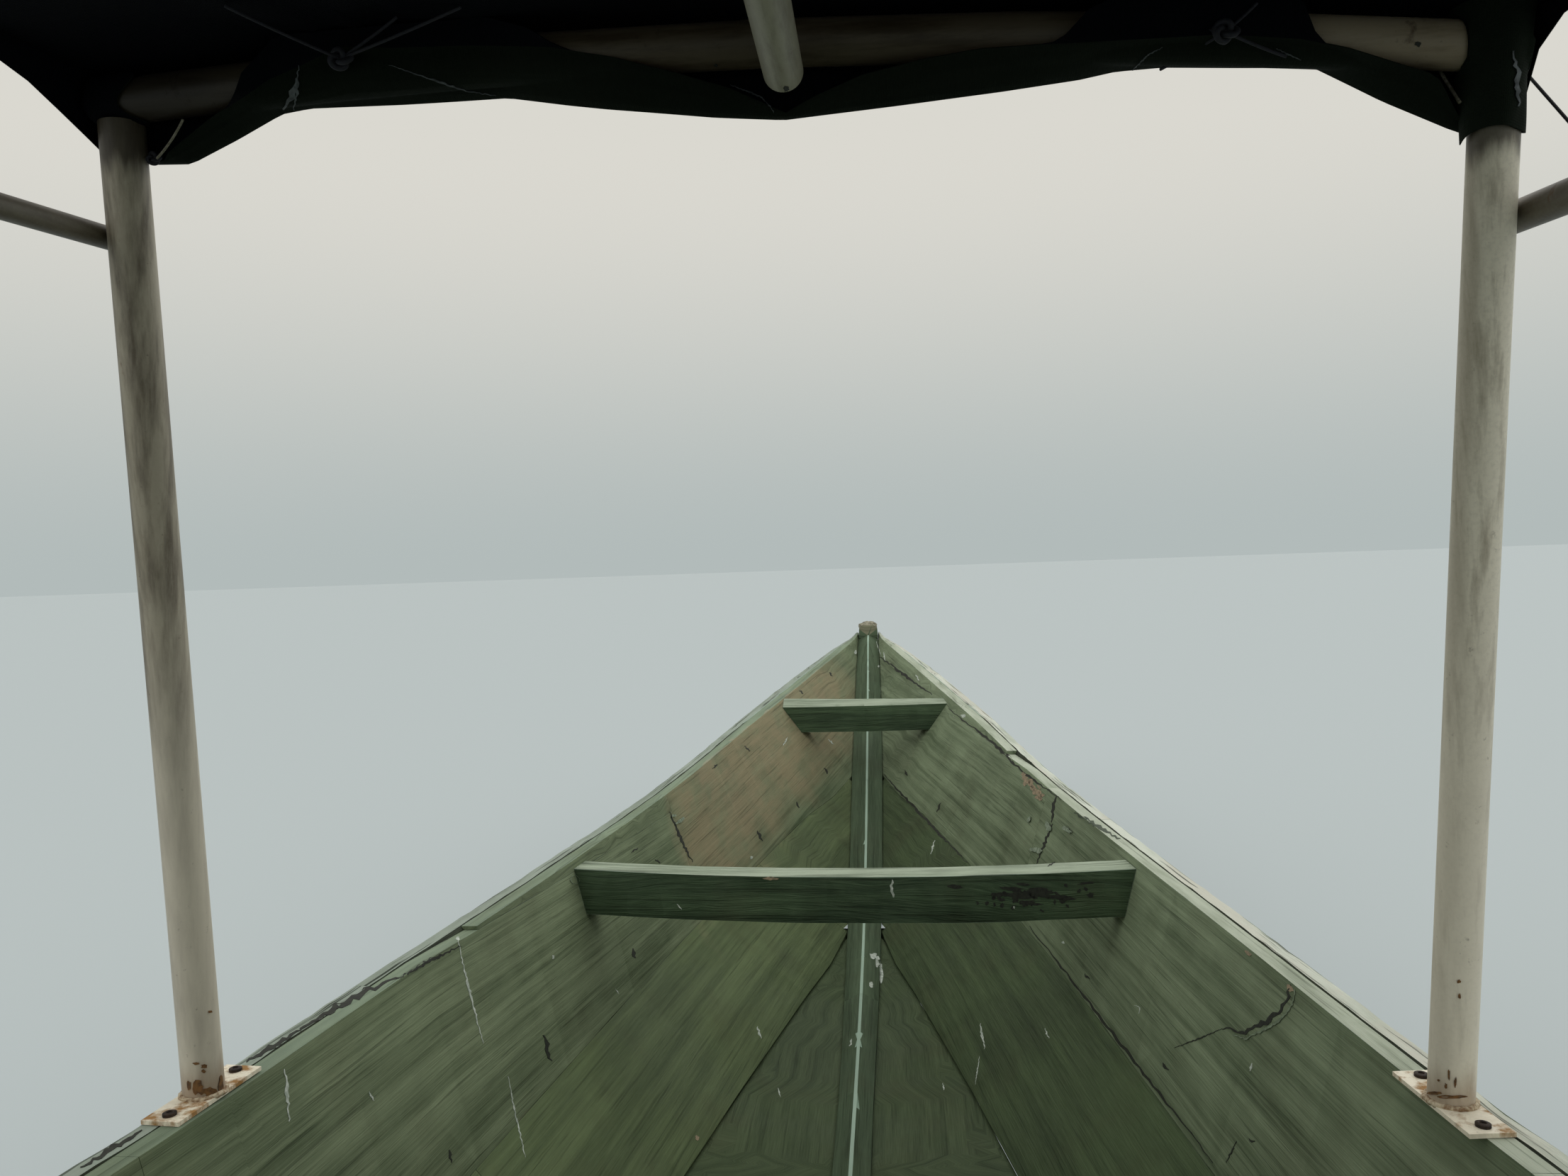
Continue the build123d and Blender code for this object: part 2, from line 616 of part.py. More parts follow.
def tube(start, end, size, wall):
    """Straight pipe between two points."""
    axis = Vector(*end) - Vector(*start)
    with BuildPart() as pipe:
        with BuildSketch(Plane(origin=start, z_dir=axis)):
            Circle(size / 2)
            Circle(size / 2 - wall, mode=Mode.SUBTRACT)
        extrude(amount=axis.length)
    return pipe


with BuildPart() as base_plates:
    for row, y in enumerate(POST_ROWS):
        for word, side in SIDES:
            ahead, behind = hull_at(y + PLATE_LONG / 2)[0][0], hull_at(y - PLATE_LONG / 2)[0][0]
            turn = math.degrees(math.atan2(ahead[0] - behind[0], PLATE_LONG))
            base = Plane(
                origin=(side * post_foot(row, side), FRONT_POST_Y + y, plate_seat(row)),
                x_dir=Vector(0, 1, 0).rotate(Axis.Z, -side * turn),
                z_dir=(0, 0, 1),
            )
            with BuildSketch(base):
                Rectangle(PLATE_LONG, PLATE_WIDE)
                with Locations((-PLATE_HOLE_SPAN / 2, 0), (PLATE_HOLE_SPAN / 2, 0)):
                    Circle(PLATE_HOLE / 2, mode=Mode.SUBTRACT)
            extrude(amount=PLATE_THICK)
save(base_plates, "base_plates")


def post(row, side):
    """One canopy post, cut level on its plate and under its cross pipe."""
    y = POST_ROWS[row]
    foot_z = plate_seat(row) + PLATE_THICK
    top_x = post_top(row, side)
    axis_z = run_z(row, side * top_x)
    head_z = GUNWALE_Z + axis_z - PIPE / 2 - FIT
    foot = Vector(side * post_foot(row, side), FRONT_POST_Y + y, foot_z)
    head = Vector(side * top_x, FRONT_POST_Y + y - post_lean(row), GUNWALE_Z + axis_z)
    along = (head - foot).normalized()
    low, high = foot - along * 40, head + along * 10
    with BuildPart() as pole:
        add(tube(tuple(low), tuple(high), PIPE, PIPE_WALL).part)
        split(bisect_by=Plane.XY.offset(foot_z), keep=Keep.TOP)
        split(bisect_by=Plane.XY.offset(head_z), keep=Keep.BOTTOM)
    return pole


save(post(0, -1), "front_post_left")
save(post(0, 1), "front_post_right")
for row, name in ((1, "mid_posts"), (2, "rear_posts")):
    with BuildPart() as pair:
        for word, side in SIDES:
            add(post(row, side).part)
    save(pair, name)

with BuildPart() as cross_pipes:
    for row, y in enumerate(POST_ROWS):
        centre, radius, left, right = crown_circle(row)
        y_at = FRONT_POST_Y + y - post_lean(row)
        runs = [left[0] + (right[0] - left[0]) * k / CROSS_RUNS for k in range(CROSS_RUNS + 1)]
        with BuildLine() as bow:
            Polyline(*[(x, y_at, GUNWALE_Z + crown_z(row, x)) for x in runs])
        with BuildSketch(Plane(origin=bow.line @ 0, z_dir=bow.line % 0)):
            Circle(PIPE / 2)
            Circle(PIPE / 2 - PIPE_WALL, mode=Mode.SUBTRACT)
        sweep(path=bow.line, transition=Transition.RIGHT)
save(cross_pipes, "cross_pipes")

ridge_z = GUNWALE_Z + CROSS_CROWN - RIDGE_DROP
lap = ridge_z + RIDGE_PIPE / 2 - (GUNWALE_Z + run_z(0, RIDGE_X + RIDGE_PIPE / 2))
butt = math.sqrt((PIPE / 2) ** 2 - lap**2) + FIT
save(
    tube(
        (RIDGE_X, FRONT_POST_Y + POST_ROWS[-1] - RIDGE_PAST, ridge_z),
        (RIDGE_X, FRONT_POST_Y - FRONT_LEAN - butt, ridge_z),
        RIDGE_PIPE, PIPE_WALL,
    ),
    "ridge_pipe",
)

with BuildPart() as mid_rails:
    for word, side in SIDES:
        ends = []
        for row, y in enumerate(POST_ROWS):
            z = MID_RAIL_Z[side] - MID_RAIL_DROP[row]
            share = z / run_z(row, side * post_foot(row, side))
            x = post_foot(row, side) + (post_top(row, side) - post_foot(row, side)) * share
            x += (PIPE + RAIL_PIPE[side]) / 2 + FIT
            ends.append((side * x, FRONT_POST_Y + y - post_lean(row) * share, GUNWALE_Z + z))
        past = [MID_RAIL_PAST, -1.5]
        for one, two in zip(ends, ends[1:]):
            fore = Vector(*one) - (Vector(*two) - Vector(*one)).normalized() * past[0]
            aft = Vector(*two) + (Vector(*two) - Vector(*one)).normalized() * past[1]
            add(tube(tuple(aft), tuple(fore), RAIL_PIPE[side], PIPE_WALL).part)
            past = [-1.5, MID_RAIL_PAST]
save(mid_rails, "mid_rails")


# Tarpaulin
def cloth_half(row, side):
    return post_top(row, side) + CROSS_PAST + CLOTH_PAST


def roof_arc(row, lift):
    """The roof's line across the boat at one row, lift above the highest cross pipe."""
    rise = GUNWALE_Z + crown(1) + PIPE / 2 + CLOTH_OVER + lift
    return ThreePointArc(
        (-cloth_half(row, -1), rise - CROSS_DROP[-1]),
        (0, rise),
        (cloth_half(row, 1), rise - CROSS_DROP[1]),
    )


def cloth_foot(side):
    return GUNWALE_Z + CROSS_CROWN - CROSS_DROP[side] - SIDE_DROP


cloth_rows = [
    FRONT_POST_Y - FRONT_LEAN + PIPE / 2 + 7.0,
    FRONT_POST_Y + POST_ROWS[1],
    FRONT_POST_Y + POST_ROWS[-1] - PIPE / 2 - 3.0,
]
with BuildPart() as tarpaulin:
    for row, y in enumerate(cloth_rows):
        with BuildSketch(Plane.XZ.offset(-y)):
            with BuildLine():
                low = roof_arc(row, 0)
                high = roof_arc(row, CLOTH)
                for end, side in ((0, -1), (1, 1)):
                    inside, outside = low @ end, high @ end
                    Polyline(
                        (inside.X, inside.Y), (inside.X, cloth_foot(side)),
                        (inside.X + side * CLOTH, cloth_foot(side)),
                        (inside.X + side * CLOTH, outside.Y), (outside.X, outside.Y),
                    )
            make_face()
    loft(ruled=True)
    for row, y in ((0, cloth_rows[0]), (2, cloth_rows[2] - CLOTH)):
        with BuildSketch(Plane.XZ.offset(-y)):
            with BuildLine():
                high = roof_arc(row, CLOTH)
                centre_z = GUNWALE_Z + CROSS_CROWN - END_DROP
                hem = ThreePointArc(
                    (-cloth_half(row, -1) - CLOTH, centre_z - CROSS_DROP[-1]),
                    (0, centre_z),
                    (cloth_half(row, 1) + CLOTH, centre_z - CROSS_DROP[1]),
                )
                for end, side in ((0, -1), (1, 1)):
                    outside, corner = high @ end, hem @ end
                    Polyline((outside.X, outside.Y), (corner.X, outside.Y), (corner.X, corner.Y))
            make_face()
        extrude(amount=-CLOTH)
save(tarpaulin, "tarpaulin")
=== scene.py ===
"""An open planked lake boat with a tarpaulin canopy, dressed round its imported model."""
import logging
import math
import random
from dataclasses import dataclass, field
from enum import Enum
from typing import Callable, Iterable, Sequence

import bpy
from mathutils import Matrix, Vector, noise


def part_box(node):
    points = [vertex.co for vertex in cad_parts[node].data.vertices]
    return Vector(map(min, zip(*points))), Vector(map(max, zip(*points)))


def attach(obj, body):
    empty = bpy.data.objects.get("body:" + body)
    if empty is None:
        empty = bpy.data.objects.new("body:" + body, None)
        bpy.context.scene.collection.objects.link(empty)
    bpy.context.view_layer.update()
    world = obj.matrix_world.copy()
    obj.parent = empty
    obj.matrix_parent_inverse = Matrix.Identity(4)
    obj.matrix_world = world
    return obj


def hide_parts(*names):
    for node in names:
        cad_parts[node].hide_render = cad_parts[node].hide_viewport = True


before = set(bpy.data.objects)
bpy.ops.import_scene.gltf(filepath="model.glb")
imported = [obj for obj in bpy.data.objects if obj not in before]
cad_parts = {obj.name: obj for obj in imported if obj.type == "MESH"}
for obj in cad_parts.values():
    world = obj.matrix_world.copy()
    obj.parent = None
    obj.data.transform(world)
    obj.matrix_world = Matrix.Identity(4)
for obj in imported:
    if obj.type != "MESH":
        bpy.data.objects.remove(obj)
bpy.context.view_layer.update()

log = logging.getLogger("boat")
BODY = "boat"
SEED = 7
Spot = tuple[float, float]
Point = tuple[float, float, float]
Piece = bpy.types.Object
Socket = bpy.types.NodeSocket

FLOAT = "NodeSocketFloat"
VECTOR = "NodeSocketVector"
# Size of the picture in pixels, and width of the camera's sensor in millimetres.
PICTURE = (2212, 1659)
SENSOR = 36.0
# Material indices of a board: its paint, its seams and its worn edges.
FACES, SEAMS, EDGES = 0, 1, 2
# Places of the posts' feet along the boat.
POST_ROWS = (0.5, -1.6, -3.7)
# Distance below which vertices are one, on boards and on the cloth.
SAME = 0.00005
CLOTH_SAME = 0.0004
# Distance that a cut keeps off the edges that the solid already has.
HAIR = 0.00013
# Half width of a ridge's worn top, and depth below a board's top that its worn edge reaches.
RIDGE_HALF = 0.006
EDGE_DEPTH = 0.008
# Thickness of the cloth, and of the small marks.
CLOTH_THICK = 0.0012
MARK_THICK = 0.0005
# Distance that the wrapped corners keep below the roof.
UNDER = 0.002
# Height that the weathered head of the stem has lost, and share of its width.
HEAD_LOST, HEAD_THINNED = 0.020, 0.10


class Run(Enum):
    """The way a timber's grain runs."""

    ALONG = "y"
    ACROSS = "x"


def linear(code: str) -> tuple[float, float, float, float]:
    """Linear colour of a six digit screen colour.

    Args:
        code: Red, green and blue in hexadecimal, with a leading hash.

    Returns:
        Red, green, blue and full opacity.
    """
    parts = [int(code[i:i + 2], 16) / 255 for i in (1, 3, 5)]
    rgb = [c / 12.92 if c <= 0.04045 else ((c + 0.055) / 1.055) ** 2.4 for c in parts]
    return *rgb, 1.0


def only(*objs: Piece) -> None:
    """Select these objects alone, and make the first one active."""
    if bpy.context.object and bpy.context.object.mode != "OBJECT":
        bpy.ops.object.mode_set(mode="OBJECT")
    bpy.ops.object.select_all(action="DESELECT")
    for obj in objs:
        obj.select_set(True)
    bpy.context.view_layer.objects.active = objs[0]


def apply_modifier(obj: Piece, kind: str, **settings: object) -> None:
    """Add one modifier with its settings and apply it.

    Args:
        obj: The mesh it works on.
        kind: Blender's name for the modifier type.
        settings: Its properties.
    """
    only(obj)
    modifier = obj.modifiers.new(kind.lower(), kind)
    for key, value in settings.items():
        setattr(modifier, key, value)
    bpy.ops.object.modifier_apply(modifier=modifier.name)


def settle(obj: Piece) -> None:
    """Put an object's place into its mesh, so that it sits at the origin unturned."""
    only(obj)
    bpy.ops.object.transform_apply(location=True, rotation=True, scale=True)


def fresh(operator: Callable[..., set[str]], **settings: object) -> Piece:
    """Add a primitive with nothing else selected.

    Args:
        operator: The operator that adds it.
        settings: Its arguments.

    Returns:
        The new object.
    """
    bpy.ops.object.select_all(action="DESELECT")
    operator(**settings)
    return bpy.context.object


def grid(wide: int, high: int) -> Piece:
    """Flat grid of so many cells by so many, from -1 to 1 both ways."""
    return fresh(bpy.ops.mesh.primitive_grid_add, x_subdivisions=wide, y_subdivisions=high, size=2.0)


def select_faces(obj: Piece, wanted: Callable[[bpy.types.MeshPolygon], bool]) -> None:
    """Open a mesh for editing with only the wanted faces selected."""
    only(obj)
    bpy.ops.object.mode_set(mode="EDIT")
    bpy.ops.mesh.select_mode(type="FACE")
    bpy.ops.mesh.select_all(action="DESELECT")
    bpy.ops.object.mode_set(mode="OBJECT")
    for face in obj.data.polygons:
        face.select = wanted(face)
    bpy.ops.object.mode_set(mode="EDIT")


def map_grid(obj: Piece, wide: float, high: float) -> None:
    """Name a grid's map "cloth" and scale it to the cloth's size in metres."""
    layer = obj.data.uv_layers.active
    layer.name = "cloth"
    for item in layer.data:
        item.uv = (item.uv[0] * wide, item.uv[1] * high)


def outward(obj: Piece) -> None:
    """Merge doubles and turn all faces outwards."""
    only(obj)
    bpy.ops.object.mode_set(mode="EDIT")
    bpy.ops.mesh.select_all(action="SELECT")
    bpy.ops.mesh.remove_doubles(threshold=SAME)
    bpy.ops.mesh.normals_make_consistent(inside=False)
    bpy.ops.object.mode_set(mode="OBJECT")


def smooth(obj: Piece, degrees: float = 32.0) -> None:
    """Smooth the shading where faces meet at less than an angle."""
    only(obj)
    bpy.ops.object.shade_smooth_by_angle(angle=math.radians(degrees))


def joined(objs: Sequence[Piece], name: str) -> Piece:
    """Join several meshes into one piece.

    Args:
        objs: The meshes.
        name: The joined piece's name.

    Returns:
        The joined piece.
    """
    only(*objs)
    if len(objs) > 1:
        bpy.ops.object.join()
    obj = bpy.context.object
    obj.name = obj.data.name = name
    return obj


def dress(obj: Piece, material: bpy.types.Material, replaces: Iterable[str] = ()) -> Piece:
    """Give a finished piece its material and its place on the boat.

    Args:
        obj: The piece.
        material: Its finish.
        replaces: CAD nodes that it stands for.

    Returns:
        The piece.
    """
    if not obj.data.materials:
        obj.data.materials.append(material)
    else:
        obj.data.materials[0] = material
    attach(obj, BODY)
    names = list(replaces)
    if names:
        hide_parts(*names)
    log.info("%s: %d faces", obj.name, len(obj.data.polygons))
    return obj


def roughen(obj: Piece, name: str, size: float, depth: int, strength: float) -> None:
    """Make a surface uneven by a cloud texture, which is made once.

    Args:
        obj: The mesh.
        name: The texture's name.
        size: Size of its lumps in metres.
        depth: Levels of detail.
        strength: How far the surface strays in all, in metres.
    """
    texture = bpy.data.textures.get(name)
    if texture is None:
        texture = bpy.data.textures.new(name, "CLOUDS")
        texture.noise_scale = size
        texture.noise_depth = depth
    apply_modifier(obj, "DISPLACE", texture=texture, texture_coords="LOCAL", strength=strength,
                   mid_level=0.5)


class Wiring:
    """Adds and links the nodes of one material or group."""

    def __init__(self, tree: bpy.types.NodeTree) -> None:
        """Start on an empty tree."""
        self.tree = tree
        tree.nodes.clear()

    def add(self, kind: str, values: dict | None = None, **settings: object) -> bpy.types.Node:
        """Add a node.

        Args:
            kind: Node type without its leading word.
            values: Input values or sockets to link, by input name or number.
            settings: Properties of the node.

        Returns:
            The node.
        """
        node = self.tree.nodes.new(kind if kind.startswith("Node") else "ShaderNode" + kind)
        for key, value in settings.items():
            setattr(node, key, value)
        for key, value in (values or {}).items():
            if isinstance(value, Socket):
                self.tree.links.new(value, node.inputs[key])
            else:
                node.inputs[key].default_value = value
        return node

    def math(self, operation: str, a: object, b: object = 0.0, clamp: bool = False) -> Socket:
        """One calculation with two numbers or sockets."""
        node = self.add("Math", {0: a, 1: b}, operation=operation, use_clamp=clamp)
        return node.outputs[0]

    def times(self, a: object, b: object) -> Socket:
        """Product of two numbers or sockets."""
        return self.math("MULTIPLY", a, b)

    def plus(self, a: object, b: object) -> Socket:
        """Sum of two numbers or sockets."""
        return self.math("ADD", a, b)

    def minus(self, a: object, b: object) -> Socket:
        """Difference of two numbers or sockets."""
        return self.math("SUBTRACT", a, b)

    def place(self) -> Socket:
        """Place on the boat, in metres."""
        return self.add("TexCoord").outputs["Object"]

    def part(self, vector: Socket, axis: str) -> Socket:
        """One of a vector's three parts."""
        return self.add("SeparateXYZ", {"Vector": vector}).outputs[axis]

    def facing(self, axis: str) -> Socket:
        """How far the surface faces along an axis."""
        return self.part(self.add("NewGeometry").outputs["Normal"], axis)

    def ramp(self, value: Socket, low: object, high: object,
             to_low: float = 0.0, to_high: float = 1.0) -> Socket:
        """Value carried smoothly from one range to another."""
        values = {"Value": value, "From Min": low, "From Max": high, "To Min": to_low, "To Max": to_high}
        return self.add("MapRange", values, interpolation_type="SMOOTHSTEP").outputs["Result"]

    def noise(self, vector: Socket, scale: float, detail: float = 3.0,
              rough: float = 0.55, distortion: float = 0.0) -> Socket:
        """Noise along a vector, from 0 to 1."""
        values = {"Vector": vector, "Scale": scale, "Detail": detail, "Roughness": rough,
                  "Distortion": distortion}
        return self.add("TexNoise", values).outputs["Fac"]

    def stretch(self, vector: Socket, scale: Point, place: Point = (0.0, 0.0, 0.0)) -> Socket:
        """Vector scaled along its axes and shifted."""
        return self.add("Mapping", {"Vector": vector, "Scale": scale, "Location": place}).outputs[0]

    def mix(self, share: object, a: object, b: object) -> Socket:
        """Two colours mixed by a share."""
        return self.add("Mix", {0: share, 6: a, 7: b}, data_type="RGBA").outputs[2]

    def shade(self, colour: Socket, rough: object, height: Socket, relief: Spot,
              others: dict[str, float]) -> None:
        """End a material with its shader.

        Args:
            colour: Base colour.
            rough: Roughness.
            height: What the relief follows.
            relief: Strength of the relief, and its depth in metres.
            others: Further inputs of the shader.
        """
        bump = self.add("Bump", {"Height": height, "Strength": relief[0], "Distance": relief[1]})
        shader = self.add("BsdfPrincipled", {"Base Color": colour, "Roughness": rough, **others,
                                             "Normal": bump.outputs[0]})
        self.end("OutputMaterial", shader)

    def end(self, kind: str, shader: bpy.types.Node) -> None:
        """Link a shader to the tree's output."""
        self.tree.links.new(shader.outputs[0], self.add(kind).inputs["Surface"])


def shared_group(
    name: str,
    inputs: Sequence[tuple[str, str, float]],
    outputs: Sequence[tuple[str, str]],
    fill: Callable[["Wiring", bpy.types.Node, bpy.types.Node], None],
) -> bpy.types.NodeTree:
    """Shader group that several finishes use, built once.

    Args:
        name: The group's name.
        inputs: Name, socket type and default of each input.
        outputs: Name and socket type of each output.
        fill: Builds the nodes between the group's input and output.

    Returns:
        The group.
    """
    group = bpy.data.node_groups.get(name)
    if group is not None:
        return group
    group = bpy.data.node_groups.new(name, "ShaderNodeTree")
    for label, kind, value in inputs:
        socket = group.interface.new_socket(label, in_out="INPUT", socket_type=kind)
        if kind == FLOAT:
            socket.default_value = value
    for label, kind in outputs:
        group.interface.new_socket(label, in_out="OUTPUT", socket_type=kind)
    wiring = Wiring(group)
    start, end = wiring.add("NodeGroupInput"), wiring.add("NodeGroupOutput")
    fill(wiring, start, end)
    return group


def grain_group() -> bpy.types.NodeTree:
    """Saw streaks and fibres that run along the second axis of a vector in metres."""
    def fill(w: Wiring, start: bpy.types.Node, end: bpy.types.Node) -> None:
        """Build the group's nodes."""
        vector = start.outputs["Vector"]
        wavy = w.noise(w.stretch(vector, (7.0, 1.1, 7.0)), 1.0, 3.0)
        wander = w.times(wavy, start.outputs["Wander"])
        shift = w.add("CombineXYZ", {"X": wander}).outputs[0]
        bent = w.add("VectorMath", {0: vector, 1: shift}, operation="ADD").outputs[0]
        streak = w.noise(w.stretch(bent, (1.0, 0.022, 1.0)), 85.0, 5.0, 0.62)
        fibre = w.noise(w.stretch(bent, (1.0, 0.03, 1.0)), 420.0, 3.0, 0.6)
        w.tree.links.new(w.ramp(streak, 0.28, 0.72), end.inputs["Streak"])
        w.tree.links.new(w.ramp(fibre, 0.25, 0.75), end.inputs["Fibre"])
    return shared_group(
        "board_grain", [("Vector", VECTOR, 0.0), ("Wander", FLOAT, 0.05)],
        [("Streak", FLOAT), ("Fibre", FLOAT)], fill)


def patch_group() -> bpy.types.NodeTree:
    """Ragged patches that cover a stated share of a surface."""
    def fill(w: Wiring, start: bpy.types.Node, end: bpy.types.Node) -> None:
        """Build the group's nodes."""
        vector = start.outputs["Vector"]
        coarse = w.add("TexNoise", {"Vector": vector, "Scale": start.outputs["Scale"],
                                    "Detail": 7.0, "Roughness": 0.62})
        level = w.minus(0.72, w.times(start.outputs["Cover"], 0.42))
        above = w.minus(coarse.outputs["Fac"], level)
        mask = w.math("MULTIPLY", above, start.outputs["Sharp"], clamp=True)
        w.tree.links.new(mask, end.inputs["Mask"])
    return shared_group(
        "ragged_patches",
        [("Vector", VECTOR, 0.0), ("Scale", FLOAT, 6.0), ("Cover", FLOAT, 0.2), ("Sharp", FLOAT, 18.0)],
        [("Mask", FLOAT)], fill)


def sky_group() -> bpy.types.NodeTree:
    """Mask of the faces that look up, which are made paler."""
    def fill(w: Wiring, start: bpy.types.Node, end: bpy.types.Node) -> None:
        """Build the group's nodes."""
        mask = w.ramp(w.facing("Z"), start.outputs["Low"], start.outputs["High"])
        w.tree.links.new(mask, end.inputs["Mask"])
    return shared_group(
        "faces_sky", [("Low", FLOAT, 0.6), ("High", FLOAT, 0.95)], [("Mask", FLOAT)], fill)


def patches(w: Wiring, vector: Socket, scale: float, cover: float, sharp: float) -> Socket:
    """Mask of ragged patches.

    Args:
        w: The material's wiring.
        vector: Where they lie.
        scale: How many there are to a metre, roughly.
        cover: Share of the surface that they cover.
        sharp: Sharpness of their edges.

    Returns:
        The mask.
    """
    values = {"Vector": vector, "Scale": scale, "Cover": cover, "Sharp": sharp}
    return w.add("Group", values, node_tree=patch_group()).outputs[0]


@dataclass(frozen=True)
class Finish:
    """A finish, whose material is made once.

    Attributes:
        name: The material's name.
    """

    name: str

    def wire(self, w: Wiring) -> None:
        """Build the material's nodes."""
        raise NotImplementedError

    def material(self) -> bpy.types.Material:
        """The finish as a material."""
        made = bpy.data.materials.get(self.name)
        if made is None:
            made = bpy.data.materials.new(self.name)
            made.use_nodes = True
            self.wire(Wiring(made.node_tree))
        return made


@dataclass(frozen=True)
class BoardPaint(Finish):
    """Old dark green paint on sawn boards, worn along the grain.

    Attributes:
        deep: Colour in the streaks.
        light: Colour between them.
        upward_colour: Paler colour given to faces that look up.
        bare: Colour of the wood where the paint is gone.
        upward_share: How far faces that look up take that paler colour.
        wear: Share of the surface that is bare.
        relief: Depth of the grain in metres.
        browned: Whether the port side forward is rubbed brown.
        wavy: How far the saw grain wanders.
        checked: How strongly long dark checks and dirt show along the grain.
    """

    deep: str = "#48553B"
    light: str = "#72815F"
    upward_colour: str = "#9DB0A0"
    bare: str = "#7A6A55"
    upward_share: float = 0.95
    wear: float = 0.05
    relief: float = 0.0012
    browned: bool = False
    wavy: float = 0.010
    checked: float = 0.35

    def wire(self, w: Wiring) -> None:
        """Build the material's nodes."""
        grain = w.add("UVMap", uv_map="grain").outputs[0]
        place = w.place()
        streaks = w.add("Group", {"Vector": grain, "Wander": self.wavy}, node_tree=grain_group())
        streak, fibre = streaks.outputs["Streak"], streaks.outputs["Fibre"]
        broad = w.ramp(w.noise(w.stretch(grain, (1.0, 0.035, 1.0)), 24.0, 5.0, 0.62), 0.36, 0.64)
        blotch = w.ramp(w.noise(place, 2.6, 5.0, 0.62), 0.34, 0.66)
        tone = w.plus(w.times(streak, 0.32), w.times(blotch, 0.28))
        tone = w.plus(tone, w.times(broad, 0.40))
        colour = w.mix(tone, linear(self.deep), linear(self.light))
        colour = w.mix(w.times(fibre, 0.16), colour, linear("#7B8B6C"))
        soil = patches(w, place, 5.0, 0.5, 3.0)
        colour = w.mix(w.times(soil, 0.35), colour, linear("#47402F"))
        if self.browned:
            colour = w.mix(self._rubbed(w, place, streak), colour, linear("#928568"))
        # Faces that look up are made paler, in patches along the grain.
        sky = w.add("Group", {"Low": 0.80, "High": 0.97}, node_tree=sky_group()).outputs[0]
        patch = w.ramp(w.noise(w.stretch(grain, (1.0, 0.12, 1.0)), 30.0, 5.0, 0.6), 0.3, 0.62)
        upward_mask = w.times(sky, w.plus(w.times(patch, 0.5), 0.5))
        colour = w.mix(w.times(upward_mask, self.upward_share), colour, linear(self.upward_colour))
        worn = w.stretch(grain, (1.0, 0.15, 1.0), (3.1, 0.7, 0.0))
        loss = patches(w, worn, 9.0, self.wear, 16.0)
        colour = w.mix(w.times(loss, 0.75), colour, linear(self.bare))
        drawn = w.noise(w.stretch(grain, (1.0, 0.018, 1.0), (0.7, 3.0, 0.0)), 130.0, 4.0, 0.6)
        check = w.times(w.ramp(drawn, 0.55, 0.66), self.checked)
        colour = w.mix(check, colour, linear("#1F261A"))
        height = w.plus(w.times(streak, 0.6), w.times(fibre, 0.4))
        height = w.minus(height, w.times(loss, 0.8))
        height = w.minus(height, w.times(check, 0.9))
        rough = w.ramp(blotch, 0.0, 1.0, 0.70, 0.92)
        w.shade(colour, rough, height, (0.7, self.relief), {"Specular IOR Level": 0.12})

    @staticmethod
    def _rubbed(w: Wiring, place: Socket, streak: Socket) -> Socket:
        """Mask of the dirty brown zone on the port side, between the two thwarts."""
        spot = w.add("SeparateXYZ", {"Vector": place}).outputs
        stray = w.times(w.minus(w.noise(place, 4.5, 5.0, 0.6), 0.5), 0.5)
        along = w.plus(spot["Y"], stray)
        fore = w.minus(1.0, w.ramp(along, 4.15, 4.75))
        aft = w.ramp(along, 2.26, 2.50)
        line = w.minus(spot["Z"], w.times(spot["Y"], 0.13))
        high = w.ramp(w.plus(line, w.times(stray, 0.35)), -0.19, -0.06)
        inward = w.facing("X")
        port = w.times(w.math("LESS_THAN", spot["X"], 0.0), w.math("GREATER_THAN", inward, 0.1))
        mask = w.times(w.times(fore, aft), w.times(high, port))
        worn = w.ramp(w.noise(w.stretch(place, (2.0, 0.8, 2.0)), 6.0, 5.0, 0.65), 0.3, 0.6, 0.35, 0.85)
        grimed = w.plus(0.75, w.times(streak, 0.25))
        return w.times(mask, w.times(worn, grimed))


